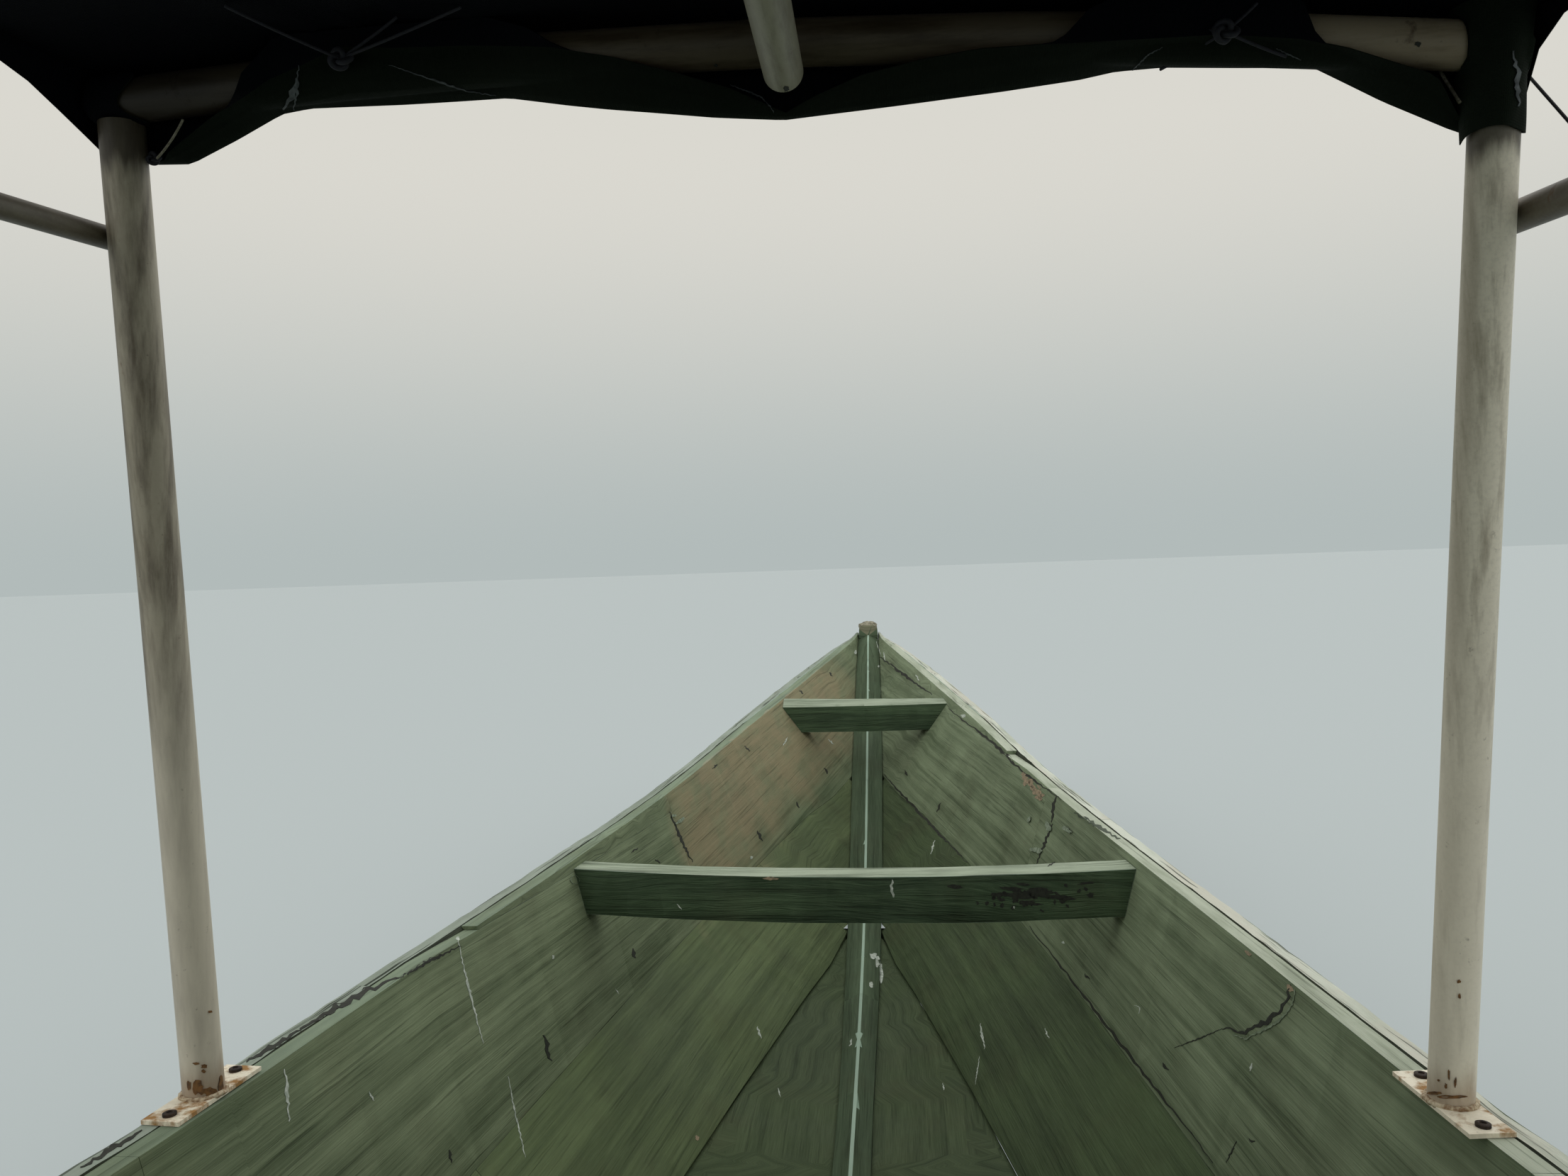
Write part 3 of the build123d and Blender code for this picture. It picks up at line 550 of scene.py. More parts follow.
@dataclass(frozen=True)
class PipePaint(Finish):
    """Cream paint on steel pipe, with dirt, runs and rust.

    Attributes:
        paint: Colour of the clean paint.
        dirt: Colour of the dirt in it.
        rust: Colour of the rust.
        grime: Share of the surface under dirt.
        rusted: Share of the surface that is rusted.
        lean: Scales of the pattern, long in the way that the pipe runs.
        foot: Height below which the paint is stained by its weld, or a low number.
        sooty: How dark the dirt is on the side that faces port.
        crown: Height above which the paint is darkened as painted shadow of the cloth, or a high number.
        shade_and_dirt: How far a pipe that runs across is darkened on its port part and middle, as painted
            shade under the cloth along with its dirt, and near black at its port end.
    """

    paint: str = "#BFBAAB"
    dirt: str = "#7A705E"
    rust: str = "#6E4A30"
    grime: float = 0.42
    rusted: float = 0.02
    lean: Point = (1.0, 1.0, 0.14)
    foot: float = -9.0
    sooty: float = 0.3
    crown: float = 9.0
    shade_and_dirt: float = 0.0

    def wire(self, w: Wiring) -> None:
        """Build the material's nodes."""
        place = w.place()
        drawn = w.stretch(place, self.lean)
        runs = patches(w, drawn, 60.0, self.grime, 4.0)
        broad = patches(w, place, 11.0, 0.45, 3.0)
        specks = patches(w, place, 95.0, 0.16, 9.0)
        spots = patches(w, w.stretch(place, (1.0, 1.0, 0.6), (5.0, 1.0, 2.0)), 24.0, self.rusted, 10.0)
        fine = w.noise(place, 210.0, 4.0, 0.6)
        colour = w.mix(w.times(runs, 0.75), linear(self.paint), linear(self.dirt))
        colour = w.mix(w.times(broad, 0.45), colour, linear("#8A7E66"))
        colour = w.mix(w.times(w.ramp(fine, 0.4, 0.8), 0.22), colour, linear("#8E8777"))
        high = w.part(place, "Z")
        # Paler towards the foot, below about 1.2 m, with less of the port-side dirt there.
        low_pale = w.ramp(high, 1.22, 0.82)
        colour = w.mix(w.times(low_pale, 0.55), colour, linear("#EAE3CF"))
        colour = w.mix(w.times(specks, 0.7), colour, linear("#4C3E30"))
        colour = w.mix(spots, colour, linear(self.rust))
        facing = w.facing("X")
        blown = w.plus(facing, w.times(w.noise(drawn, 34.0, 5.0, 0.65), 1.3))
        soot = w.times(w.ramp(blown, 0.35, -0.35), self.sooty)
        soot = w.times(soot, w.ramp(low_pale, 0.0, 1.0, 1.0, 0.35))
        colour = w.mix(soot, colour, linear(self.dirt))
        creep = w.plus(high, w.times(w.noise(drawn, 55.0, 5.0, 0.6), 0.05))
        stain = w.minus(1.0, w.ramp(creep, self.foot, self.foot + 0.045))
        colour = w.mix(w.times(stain, 0.55), colour, linear("#7A5630"))
        # Painted shadow: above crown, under the cloth, the paint is darkened to brown-black.
        cloth_shadow = w.ramp(creep, self.crown, self.crown + 0.03)
        # Painted shade on a pipe that runs across under the cloth: its port part and middle darkened along
        # its dirt runs, and its port end near black.
        across = w.part(place, "X")
        cover = w.times(w.ramp(across, 0.56, 0.34), self.shade_and_dirt)
        cover = w.times(cover, w.ramp(runs, 0.0, 1.0, 0.85, 1.0))
        colour = w.mix(w.math("MAXIMUM", w.times(cloth_shadow, 0.85), cover), colour, linear("#2B2215"))
        far = w.times(w.ramp(across, -0.40, -0.66), self.shade_and_dirt * 0.8)
        colour = w.mix(far, colour, linear("#0E0B07"))
        height = w.minus(w.times(fine, 0.4), spots)
        rough = w.ramp(spots, 0.0, 1.0, 0.5, 0.85)
        w.shade(colour, rough, height, (0.6, 0.0006), {"Specular IOR Level": 0.3})


@dataclass(frozen=True)
class TarpCloth(Finish):
    """Coated cloth, woven, with soft creases.

    Attributes:
        colour: Its own colour.
        dusty: Colour of the dust on it.
        dust: How much of that shows.
    """

    colour: str
    dusty: str = "#5A5C55"
    dust: float = 0.12

    def wire(self, w: Wiring) -> None:
        """Build the material's nodes."""
        flat = w.add("UVMap", uv_map="cloth").outputs[0]
        place = w.place()
        weave = []
        for turn in (0.0, math.pi / 2):
            turned = w.add("Mapping", {"Vector": flat, "Rotation": (0.0, 0.0, turn)}).outputs[0]
            weave.append(w.add("TexWave", {"Vector": turned, "Scale": 110.0, "Distortion": 0.6,
                                           "Detail": 1.0}).outputs["Fac"])
        threads = w.times(weave[0], weave[1])
        crease = w.noise(w.stretch(place, (1.0, 1.6, 1.0)), 9.0, 6.0, 0.55, 0.8)
        dust = w.ramp(w.noise(place, 5.0, 6.0, 0.6), 0.42, 0.75)
        worn = patches(w, flat, 34.0, 0.12, 9.0)
        colour = w.mix(w.times(dust, self.dust), linear(self.colour), linear(self.dusty))
        colour = w.mix(w.times(worn, self.dust), colour, linear("#8B9088"))
        height = w.plus(w.times(threads, 0.12), crease)
        w.shade(colour, 0.85, height, (0.55, 0.006), {"Specular IOR Level": 0.06})


@dataclass(frozen=True)
class PlainMark(Finish):
    """Matt material of one mottled colour, for small marks and fittings.

    Attributes:
        colour: Its colour.
        other: Colour that it is mottled with.
        scale: Scale of the mottling.
        rough: Roughness.
        metal: Metallic share.
    """

    colour: str
    other: str
    scale: float = 90.0
    rough: float = 0.8
    metal: float = 0.0

    def wire(self, w: Wiring) -> None:
        """Build the material's nodes."""
        place = w.place()
        spread = w.noise(place, self.scale, 5.0, 0.65)
        colour = w.mix(w.ramp(spread, 0.35, 0.65), linear(self.colour), linear(self.other))
        w.shade(colour, self.rough, spread, (0.6, 0.0008), {"Metallic": self.metal})


HULL = BoardPaint("hull_green", deep="#424E36", light="#879373", upward_share=0.3, browned=True)
HULL_BOARD = BoardPaint("hull_green_board", deep="#434F38", light="#889577", upward_colour="#B9C0AC", upward_share=0.9)
LOWER = BoardPaint("lower_green", upward_share=0.0, deep="#2A3522", light="#4B593C")
LOWER_PORT = BoardPaint("lower_green_port", upward_share=0.0, deep="#3D4930", light="#677450", browned=True)
BACKBONE = BoardPaint("backbone_green", upward_share=0.0, deep="#2F3C2B", light="#56664F")
BOTTOM = BoardPaint("bottom_green", upward_share=0.0, deep="#2F3B27", light="#4E5A3F")
SEAM = BoardPaint("seam_edge", deep="#191E15", light="#2B3326", upward_share=0.1, wear=0.05)
HULL_EDGE = BoardPaint("hull_green_edge", deep="#46553F", light="#8E9E8A", wear=0.3, checked=0.8)
RIDGE = BoardPaint("ridge_pale", deep="#7F9582", light="#9DB5A2", upward_colour="#A8BCAA", upward_share=0.6, wear=0.2)
HEAD = BoardPaint("mossy_head", deep="#4A4936", light="#8C8972", upward_colour="#7E7C66", upward_share=0.5, wear=0.4,
                  bare="#A29E88", checked=0.9)
RAIL_PORT = BoardPaint("rail_green_port", deep="#4C5546", light="#7A8474", upward_colour="#98A294", wear=0.3,
                       bare="#6F6E5B", checked=0.9)
RAIL_BOARD = BoardPaint("rail_green_board", deep="#6B7963", light="#A5B09C", upward_colour="#D0D4C4", wear=0.6,
                        bare="#C6C4B4", checked=0.8)
BENCH = BoardPaint("bench_green", deep="#4F5E46", light="#7B8C78", upward_colour="#9EAE9A", wear=0.2,
                   bare="#8D8877", checked=0.6)
# Painted shade: the rubbing rails' seams and inboard chamfer are near black, as the gap to the strake lies
# in shadow.
GAP = BoardPaint("gap_painted_shade", deep="#0F120C", light="#1D2118", upward_share=0.0, wear=0.0)
THWART = BoardPaint("thwart_green", deep="#19281C", light="#4C6045", upward_colour="#A8B39C", wear=0.04,
                    relief=0.0035, wavy=0.14, checked=0.5)
THWART_EDGE = BoardPaint("thwart_edge", deep="#5F6F5B", light="#9AAC9B", wear=0.3, bare="#6E5540",
                         checked=0.7)
FLOOR = BoardPaint("floor_green", deep="#3A4234", light="#59604E", upward_colour="#767A68", wear=0.3)
POSTS = PipePaint("cream_pipe", foot=0.545)
# The two front posts share one cream paint: the port post's is set darker as painted shade, and the
# starboard post's lighter as painted light, where the light falls more strongly.
POST_PORT = PipePaint("cream_pipe_port", paint="#A59E8A", dirt="#423625", grime=0.74, foot=0.56, sooty=0.75,
                      crown=1.632)
POST_BOARD = PipePaint("cream_pipe_board", paint="#EAE4CE", dirt="#82775F", grime=0.5, foot=0.56, sooty=0.6,
                       crown=1.553)
RIDGE_PIPE = PipePaint("cream_ridge_pipe", paint="#A39F8A", lean=(1.0, 0.14, 1.0), grime=0.6,
                       dirt="#5C5442")
# Painted shade: the side rails' cream paint is set dark, as they lie in shadow under the cloth, with dirt
# and rust besides.
MID_RAILS = PipePaint("shaded_cream_rail", paint="#70695A", lean=(1.0, 0.14, 1.0), grime=0.7, dirt="#4A4031",
                      rusted=0.1)
# Painted shade: the cross pipes' cream paint is set dark brown, as they lie in shadow under the cloth, with
# dirt and rust besides.
CROSS_PIPES = PipePaint("shaded_dirty_pipe", paint="#8C806B", dirt="#5A4A34", lean=(0.14, 1.0, 1.0),
                        grime=0.6, rusted=0.2, rust="#3A2717", shade_and_dirt=0.9)
PLATES = PipePaint("cream_plate", paint="#EDE4C8", dirt="#A3905F", grime=0.55, rusted=0.52, rust="#9A7443",
                   lean=(1.0, 1.0, 1.0))
CLOTH_INSIDE = TarpCloth("navy_inside", "#06080D", dust=0.01)
CLOTH_OUTSIDE = TarpCloth("green_outside", "#151C14", dust=0.05)
WELD = PlainMark("rusty_weld", "#C9BC9E", "#7A5C3C", 120.0)
SCREW = PlainMark("rusty_screw", "#3B2C22", "#1E1814", 200.0, 0.7, 0.4)
TIE = PlainMark("navy_cord", "#0C0E1B", "#06070D", 300.0)
PALE_TIE = PlainMark("pale_cord", "#8D897A", "#66624F", 300.0)
DROPPING = PlainMark("white_dropping", "#C9CFC4", "#8F9A8A", 120.0)
NICK = PlainMark("dark_nick", "#14160F", "#23281C", 120.0)
LIP = PlainMark("crack_lip", "#7B8A70", "#55624B", 90.0)
CHIP = PlainMark("green_chip", "#8F9C86", "#5F6C57", 90.0)
BARE = PlainMark("bare_wood", "#A08C70", "#7B7059", 110.0)
RUST = PlainMark("brown_rust", "#7E5A30", "#4F3822", 130.0)
MOSS = PlainMark("mossy_head_wood", "#5F5B46", "#A19C86", 70.0)
# Painted shadow in the gap between the starboard rail and the strake.
SHADOW = PlainMark("painted_rail_shadow", "#2C3727", "#3F4B38", 60.0)
PALE_FOLD = PlainMark("worn_fold", "#62686A", "#33383A", 80.0)


@dataclass
class Timber:
    """One CAD node of board, given worn edges and an uneven sawn surface.

    Attributes:
        node: The CAD node that it stands for.
        finish: Paint of its faces.
        seam: Finish of the edges that lie in a seam.
        edge: Finish of the worn edges of its top.
        slot: Name of a material slot, which is not used.
        run: The way its grain runs.
        cell: Length of the cells that it is cut into, in metres.
        worn: Width of its worn edges.
        uneven: How far its surface strays.
        ridge: Whether its narrow top facet is given the pale finish of its edges.
        gap: Whether its inboard chamfer takes the seams' finish, which on a rail is painted shade of the
            gap to the strake.
        head: Height of a weathered head on it, which the seams' finish covers.
    """

    node: str
    finish: BoardPaint
    seam: BoardPaint
    edge: BoardPaint
    slot: str
    run: Run = Run.ALONG
    cell: float = 0.08
    worn: float = 0.0022
    uneven: float = 0.0025
    ridge: bool = False
    gap: bool = False
    head: float = 0.0

    def build(self) -> Piece:
        """Make the board from a merged copy of its node."""
        piece = self._copied()
        self._cut(piece)
        tops = self._mark_grain(piece)
        piece.data.materials.clear()
        for finish in (self.finish, self.seam, self.edge):
            piece.data.materials.append(finish.material())
        self._mark_facets(piece)
        apply_modifier(piece, "BEVEL", width=self.worn, segments=2, limit_method="ANGLE",
                       angle_limit=math.radians(35), material=SEAMS, use_clamp_overlap=True)
        self._mark_edges(piece, tops)
        self._weather(piece)
        roughen(piece, "sawn_face", 0.16, 3, self.uneven)
        smooth(piece)
        piece.name = piece.data.name = self.node + "_timber"
        return dress(piece, self.finish.material(), [self.node])

    def _mark_facets(self, piece: Piece) -> None:
        """Pale finish on a ridge's top, and painted shade of the gap in a rail's inboard chamfer."""
        for face in piece.data.polygons:
            side = 1 if face.center.x > 0 else -1
            if self.ridge and face.normal.z > 0.3 and abs(face.center.x) < RIDGE_HALF:
                face.material_index = EDGES
            elif self.gap and face.normal.x * side < -0.35 and face.normal.z > 0.2:
                face.material_index = SEAMS

    def _mark_edges(self, piece: Piece, tops: "TopLine | None") -> None:
        """Worn finish on the bevels of the board's top, in place of the seams' finish."""
        for face in piece.data.polygons:
            if face.material_index != SEAMS:
                continue
            if tops is None:
                face.material_index = EDGES
                continue
            if self.ridge and abs(face.center.x) > RIDGE_HALF + 0.002:
                continue
            across, height = tops.at(face.center.x, face.center.y)
            inboard = self.gap and face.normal.x * across < -0.2
            if face.center.z > height - EDGE_DEPTH and not inboard:
                face.material_index = EDGES
        if self.head:
            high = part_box(self.node)[1][2]
            for face in piece.data.polygons:
                on_head = face.center.z > high - self.head
                if on_head or face.material_index == SEAMS:
                    face.material_index = SEAMS if on_head else FACES

    def _weather(self, piece: Piece) -> None:
        """Ragged outer edge of a rubbing rail, and the worn down head of the stem."""
        if self.head:
            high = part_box(self.node)[1][2]
            for vertex in piece.data.vertices:
                up = (vertex.co.z - high + 2 * self.head) / (2 * self.head)
                if up > 0:
                    vertex.co.z -= HEAD_LOST * up
                    vertex.co.x *= 1 - HEAD_THINNED * up
        if not self.gap:
            return
        for vertex in piece.data.vertices:
            side = 1 if vertex.co.x > 0 else -1
            stray = noise.noise(Vector((side * 3.0, vertex.co.y * 9.0, 0.3)))
            fine = noise.noise(Vector((side * 5.0, vertex.co.y * 42.0, 7.7)))
            vertex.co.x += side * (0.0022 * stray + 0.0012 * fine - 0.0012)
            vertex.co.z += 0.0016 * noise.noise(Vector((side * 2.0, vertex.co.y * 14.0, 4.1)))

    def _copied(self) -> Piece:
        """Merged copy of the CAD node, with the node's own materials taken off."""
        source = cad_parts[self.node]
        piece = bpy.data.objects.new(self.node + "_timber", source.data.copy())
        bpy.context.scene.collection.objects.link(piece)
        for layer in list(piece.data.uv_layers):
            piece.data.uv_layers.remove(layer)
        only(piece)
        bpy.ops.object.mode_set(mode="EDIT")
        bpy.ops.mesh.select_all(action="SELECT")
        bpy.ops.mesh.remove_doubles(threshold=SAME)
        bpy.ops.mesh.customdata_custom_splitnormals_clear()
        bpy.ops.object.mode_set(mode="OBJECT")
        return piece

    def _cut(self, piece: Piece) -> None:
        """Cut the board into cells square to its grain, a hair off its own edges."""
        axis = 1 if self.run is Run.ALONG else 0
        low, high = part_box(self.node)
        count = max(1, round((high[axis] - low[axis]) / self.cell))
        step = (high[axis] - low[axis]) / count
        normal = [0.0, 0.0, 0.0]
        normal[axis] = 1.0
        only(piece)
        bpy.ops.object.mode_set(mode="EDIT")
        for k in range(1, count):
            at = [0.0, 0.0, 0.0]
            at[axis] = low[axis] + k * step + HAIR
            bpy.ops.mesh.select_all(action="SELECT")
            bpy.ops.mesh.bisect(plane_co=at, plane_no=normal)
        bpy.ops.object.mode_set(mode="OBJECT")

    def _mark_grain(self, piece: Piece) -> "TopLine | None":
        """Lay a map over the board in metres, across the grain and along it.

        Args:
            piece: The board.

        Returns:
            The line of its upper edge, or nothing where the grain runs across the boat.
        """
        layer = piece.data.uv_layers.new(name="grain")
        shift = (sum(map(ord, self.node)) % 97) * 0.37
        if self.run is Run.ACROSS:
            for face in piece.data.polygons:
                flat = abs(face.normal.z) > 0.7
                for loop in face.loop_indices:
                    co = piece.data.vertices[piece.data.loops[loop].vertex_index].co
                    layer.data[loop].uv = ((co.y if flat else co.z) + shift, co.x + shift)
            return None
        tops = TopLine(piece)
        for loop in piece.data.loops:
            x, y, z = piece.data.vertices[loop.vertex_index].co
            top = tops.at(x, y)
            across = math.hypot(x - top[0], z - top[1])
            layer.data[loop.index].uv = (across + shift, y + shift)
        return tops


class TopLine:
    """Line of a board's upper edge on each side of the boat."""

    SLICE = 0.004

    def __init__(self, piece: Piece) -> None:
        """Find the highest points along the board, without those that hang below their neighbours.

        Args:
            piece: The board.
        """
        self.rows: dict[int, list[Point]] = {}
        for side in (-1, 1):
            found: dict[int, list[Point]] = {}
            for vertex in piece.data.vertices:
                x, y, z = vertex.co
                if (x > 0) == (side > 0):
                    found.setdefault(round(y / self.SLICE), []).append((y, x, z))
            rows = []
            for key in sorted(found):
                high = max(spot[2] for spot in found[key])
                upper = [spot for spot in found[key] if spot[2] > high - 0.015]
                rows.append(min(upper, key=lambda spot: abs(spot[1])))
            low = [0]
            while low:
                low = [k for k in range(1, len(rows) - 1)
                       if rows[k][2] < between((rows[k - 1], rows[k + 1]), rows[k][0], 2) - 0.003]
                rows = [row for k, row in enumerate(rows) if k not in low[::2]]
            self.rows[side] = rows

    def at(self, x: float, y: float) -> Spot:
        """Place across and height of the upper edge beside a point."""
        side = 1 if x > 0 else -1
        rows = self.rows[side] or self.rows[-side]
        return between(rows, y, 1), between(rows, y, 2)


def between(table: Sequence[Sequence[float]], x: float, column: int = 1) -> float:
    """Value of one column of a table at x, straight between its rows.

    Args:
        table: Rows that start with their x, in rising order.
        x: Where the value is wanted.
        column: Column of the value.

    Returns:
        The value, which stays the same past the first and last rows.
    """
    if x <= table[0][0]:
        return table[0][column]
    for one, two in zip(table, table[1:]):
        if x <= two[0]:
            share = (x - one[0]) / (two[0] - one[0])
            return one[column] + (two[column] - one[column]) * share
    return table[-1][column]


def bump_at(x: float, middle: float, width: float) -> float:
    """Rounded bump of height 1 and a given width about a middle."""
    return math.exp(-((x - middle) / width) ** 2)


@dataclass
class Canopy:
    """The tarpaulin over its pipes.

    Attributes:
        fore: Where its front falls.
        aft: Where its rear falls.
        crown: Height of the cloth over the middle of a cross pipe.
        bend: Fall of the roof's line across, by the square of the share of its half breadth.
        tilt: Its fall to starboard, by the same share.
        rows: Places of the cross pipes.
        halves: Row, then half breadth to port and to starboard.
        sag: How far the cloth sags between the cross pipes.
        fold: Place across and height of the front's lowest fold.
        lip: Place across, place along and height of the hem, which is turned back and up.
        hem_left: Height of the port hem by its distance aft of the front corner.
        hem_right: The same to starboard.
        hem_rear: Height of the rear hem by the share of the half breadth.
        knots: Place across of the two ties that gather the front.
        tuck: Place across, whether the hem is tucked up there, and the height that it reaches.
        pipe_size: Radius of the cross pipe with room for the cloth.
        map_size: Width and length of its map, in metres of cloth.
        across: Cells across the roof.
        along: Cells along it.
        drop: Cells down each hanging edge.
        turned: Cells in the hem that is turned back at the front.
        tucked: Cells in the part of it that is tucked up.
    """

    fore: float = 0.4125
    aft: float = -3.7285
    crown: float = 1.7412
    bend: float = 0.0365
    tilt: float = 0.0235
    rows: tuple[float, ...] = (0.385, -1.600, -3.700)
    halves: tuple[Point, ...] = (
        (-3.7285, 0.7620, 0.7620), (-1.600, 0.8515, 0.8515), (0.4125, 0.7565, 0.7745))
    sag: float = 0.040
    fold: tuple[Spot, ...] = (
        (-0.757, 1.641), (-0.700, 1.634), (-0.660, 1.632), (-0.603, 1.656), (-0.550, 1.681),
        (-0.516, 1.685), (-0.412, 1.682), (-0.288, 1.681), (-0.220, 1.668), (-0.178, 1.661),
        (-0.059, 1.644), (0.018, 1.636), (0.153, 1.644), (0.250, 1.650), (0.333, 1.657), (0.371, 1.663),
        (0.420, 1.664), (0.573, 1.653), (0.641, 1.613), (0.715, 1.576), (0.775, 1.579))
    lip: tuple[Point, ...] = (
        (-0.757, 0.410, 1.641), (-0.690, 0.405, 1.634), (-0.673, 0.390, 1.639), (-0.612, 0.375, 1.668),
        (-0.578, 0.365, 1.678), (-0.536, 0.360, 1.698), (-0.497, 0.355, 1.708), (-0.453, 0.350, 1.723),
        (-0.394, 0.352, 1.718), (-0.310, 0.355, 1.716), (-0.225, 0.357, 1.709), (-0.159, 0.362, 1.696),
        (-0.094, 0.372, 1.679), (-0.038, 0.385, 1.664), (0.006, 0.400, 1.647), (0.019, 0.403, 1.640),
        (0.053, 0.390, 1.651), (0.105, 0.375, 1.664), (0.170, 0.362, 1.670), (0.226, 0.357, 1.674),
        (0.288, 0.355, 1.673), (0.381, 0.352, 1.670), (0.465, 0.350, 1.668), (0.542, 0.355, 1.660),
        (0.588, 0.357, 1.648), (0.678, 0.370, 1.620), (0.715, 0.400, 1.580), (0.775, 0.410, 1.579))
    hem_left: tuple[Spot, ...] = (
        (0.0, 1.641), (0.128, 1.694), (0.26, 1.702), (1.2, 1.706), (4.2, 1.702))
    hem_right: tuple[Spot, ...] = (
        (0.0, 1.579), (0.014, 1.630), (0.077, 1.660), (0.25, 1.664), (1.2, 1.660), (4.2, 1.656))
    hem_rear: tuple[Spot, ...] = ((-0.62, 1.668), (-0.2, 1.652), (0.15, 1.662), (0.55, 1.640))
    knots: Spot = (-0.453, 0.465)
    tuck: tuple[Point, ...] = (
        (-0.590, 0.0, 1.660), (-0.560, 1.0, 1.700), (-0.520, 1.0, 1.738), (-0.290, 1.0, 1.741),
        (-0.240, 1.0, 1.724), (-0.200, 0.0, 1.700), (0.290, 0.0, 1.670), (0.330, 1.0, 1.700),
        (0.400, 1.0, 1.727), (0.500, 1.0, 1.727), (0.545, 1.0, 1.690), (0.565, 0.0, 1.650))
    pipe_size: float = 0.0272
    map_size: Spot = (1.9, 4.5)
    across: int = 132
    along: int = 88
    drop: int = 8
    turned: int = 12
    tucked: int = 4

    def share(self, x: float, y: float) -> float:
        """Share of the half breadth at a place, negative to port."""
        return x / between(self.halves, y, 2 if x > 0 else 1)

    def fall(self, share: float) -> float:
        """Fall of the roof's line and of the cross pipes below the crown."""
        return self.bend * share ** 2 + self.tilt * share

    def roof(self, x: float, y: float) -> float:
        """Height of the cloth at a place on the roof."""
        height = self.crown - self.fall(self.share(x, y)) - self._sag(x, y)
        near = min(abs(y - row) for row in self.rows)
        free = min(near / 0.16, 1.0)
        height += 0.010 * free * noise.noise(Vector((x * 2.6, y * 2.1, 3.0)))
        height += 0.0035 * free * noise.noise(Vector((x * 11.0, y * 7.0, 9.0)))
        for knot in self.knots:
            dx, dy = x - knot, y - self.rows[0]
            reach = math.hypot(dx, dy)
            pleat = abs(math.sin(3.5 * math.atan2(dy, dx) + 1.1))
            height += 0.010 * pleat * min(reach / 0.06, 1.0) * math.exp(-reach / 0.22)
        return height

    def pipe_height(self, x: float) -> float:
        """Height of the front cross pipe's axis at x."""
        return self.crown - 0.0332 - self.fall(x / 0.754)

    def build(self) -> list[Piece]:
        """Make the cloth.

        Returns:
            The cloth alone, as a list for the marks and ties to lie on.
        """
        wide = self.across + 2 * self.drop
        long = self.along + 2 * self.drop + self.turned + self.tucked
        cloth = grid(wide, long)
        map_grid(cloth, *self.map_size)
        spots = [(round((v.co.x + 1) / 2 * wide), round((v.co.y + 1) / 2 * long))
                 for v in cloth.data.vertices]
        for vertex, (column, row) in zip(cloth.data.vertices, spots):
            vertex.co = self._place(column - self.drop, row - self.drop)

        def in_corner(face: bpy.types.MeshPolygon) -> bool:
            """Whether a face lies in a corner, past the roof both ways."""
            columns, rows = zip(*(spots[v] for v in face.vertices))
            side = max(columns) <= self.drop or min(columns) >= self.drop + self.across
            return side and (max(rows) <= self.drop or min(rows) >= self.drop + self.along)

        select_faces(cloth, in_corner)
        bpy.ops.mesh.delete(type="FACE")
        bpy.ops.mesh.select_all(action="SELECT")
        bpy.ops.mesh.remove_doubles(threshold=CLOTH_SAME)
        bpy.ops.object.mode_set(mode="OBJECT")
        cloth = joined([cloth, self._collar(), self._sleeve()], "tarpaulin_cloth")
        cloth.data.materials.clear()
        for finish in (CLOTH_OUTSIDE, CLOTH_INSIDE, CLOTH_INSIDE):
            cloth.data.materials.append(finish.material())
        marks = cloth.data.uv_layers["cloth"].data
        start = self.map_size[1] * (long - self.tucked) / long - 0.001
        for face in cloth.data.polygons:
            if all(marks[loop].uv[1] > start for loop in face.loop_indices):
                face.material_index = 1
        apply_modifier(cloth, "SOLIDIFY", thickness=CLOTH_THICK, offset=-1.0, material_offset=1,
                       material_offset_rim=0)
        smooth(cloth, 60)
        dress(cloth, CLOTH_OUTSIDE.material(), ["tarpaulin"])
        return [cloth]

    def _place(self, column: int, row: int) -> Point:
        """Place of one point of the cloth, by its column and row from the roof's corner."""
        side = min(max(-column, column - self.across, 0) / self.drop, 1.0)
        end = max(-row, row - self.along, 0)
        share_x = min(max(column / self.across, 0.0), 1.0)
        share_y = min(max(row / self.along, 0.0), 1.0) ** 0.8
        y = self.aft + (self.fore - self.aft) * share_y
        port, board = between(self.halves, y, 1), between(self.halves, y, 2)
        x = -port + (port + board) * share_x
        z = self.roof(x, y)
        if side > 0:
            out = 1 if column > 0 else -1
            hem = self._side_hem(out, y)
            corner = min(min(self.fore - y, y - self.aft) / 0.12, 1.0)
            stray = noise.noise(Vector((1.0, y * 6.0, side)))
            x += out * (0.002 + 0.004 * side + 0.003 * stray) * corner * side
            return x, y, z + (hem - z) * side
        if end == 0:
            return x, y, z
        if row < 0:
            rear = ((-1.0, self._side_hem(-1, y)), *self.hem_rear, (1.0, self._side_hem(1, y)))
            hem = between(rear, self.share(x, y))
            share = end / self.drop
            free = 1 - abs(self.share(x, y)) ** 8
            y -= 0.006 * math.sin(math.pi * share * 0.7) * free
            return x, y, z + (hem - z) * share
        return self._front(x, z, end)

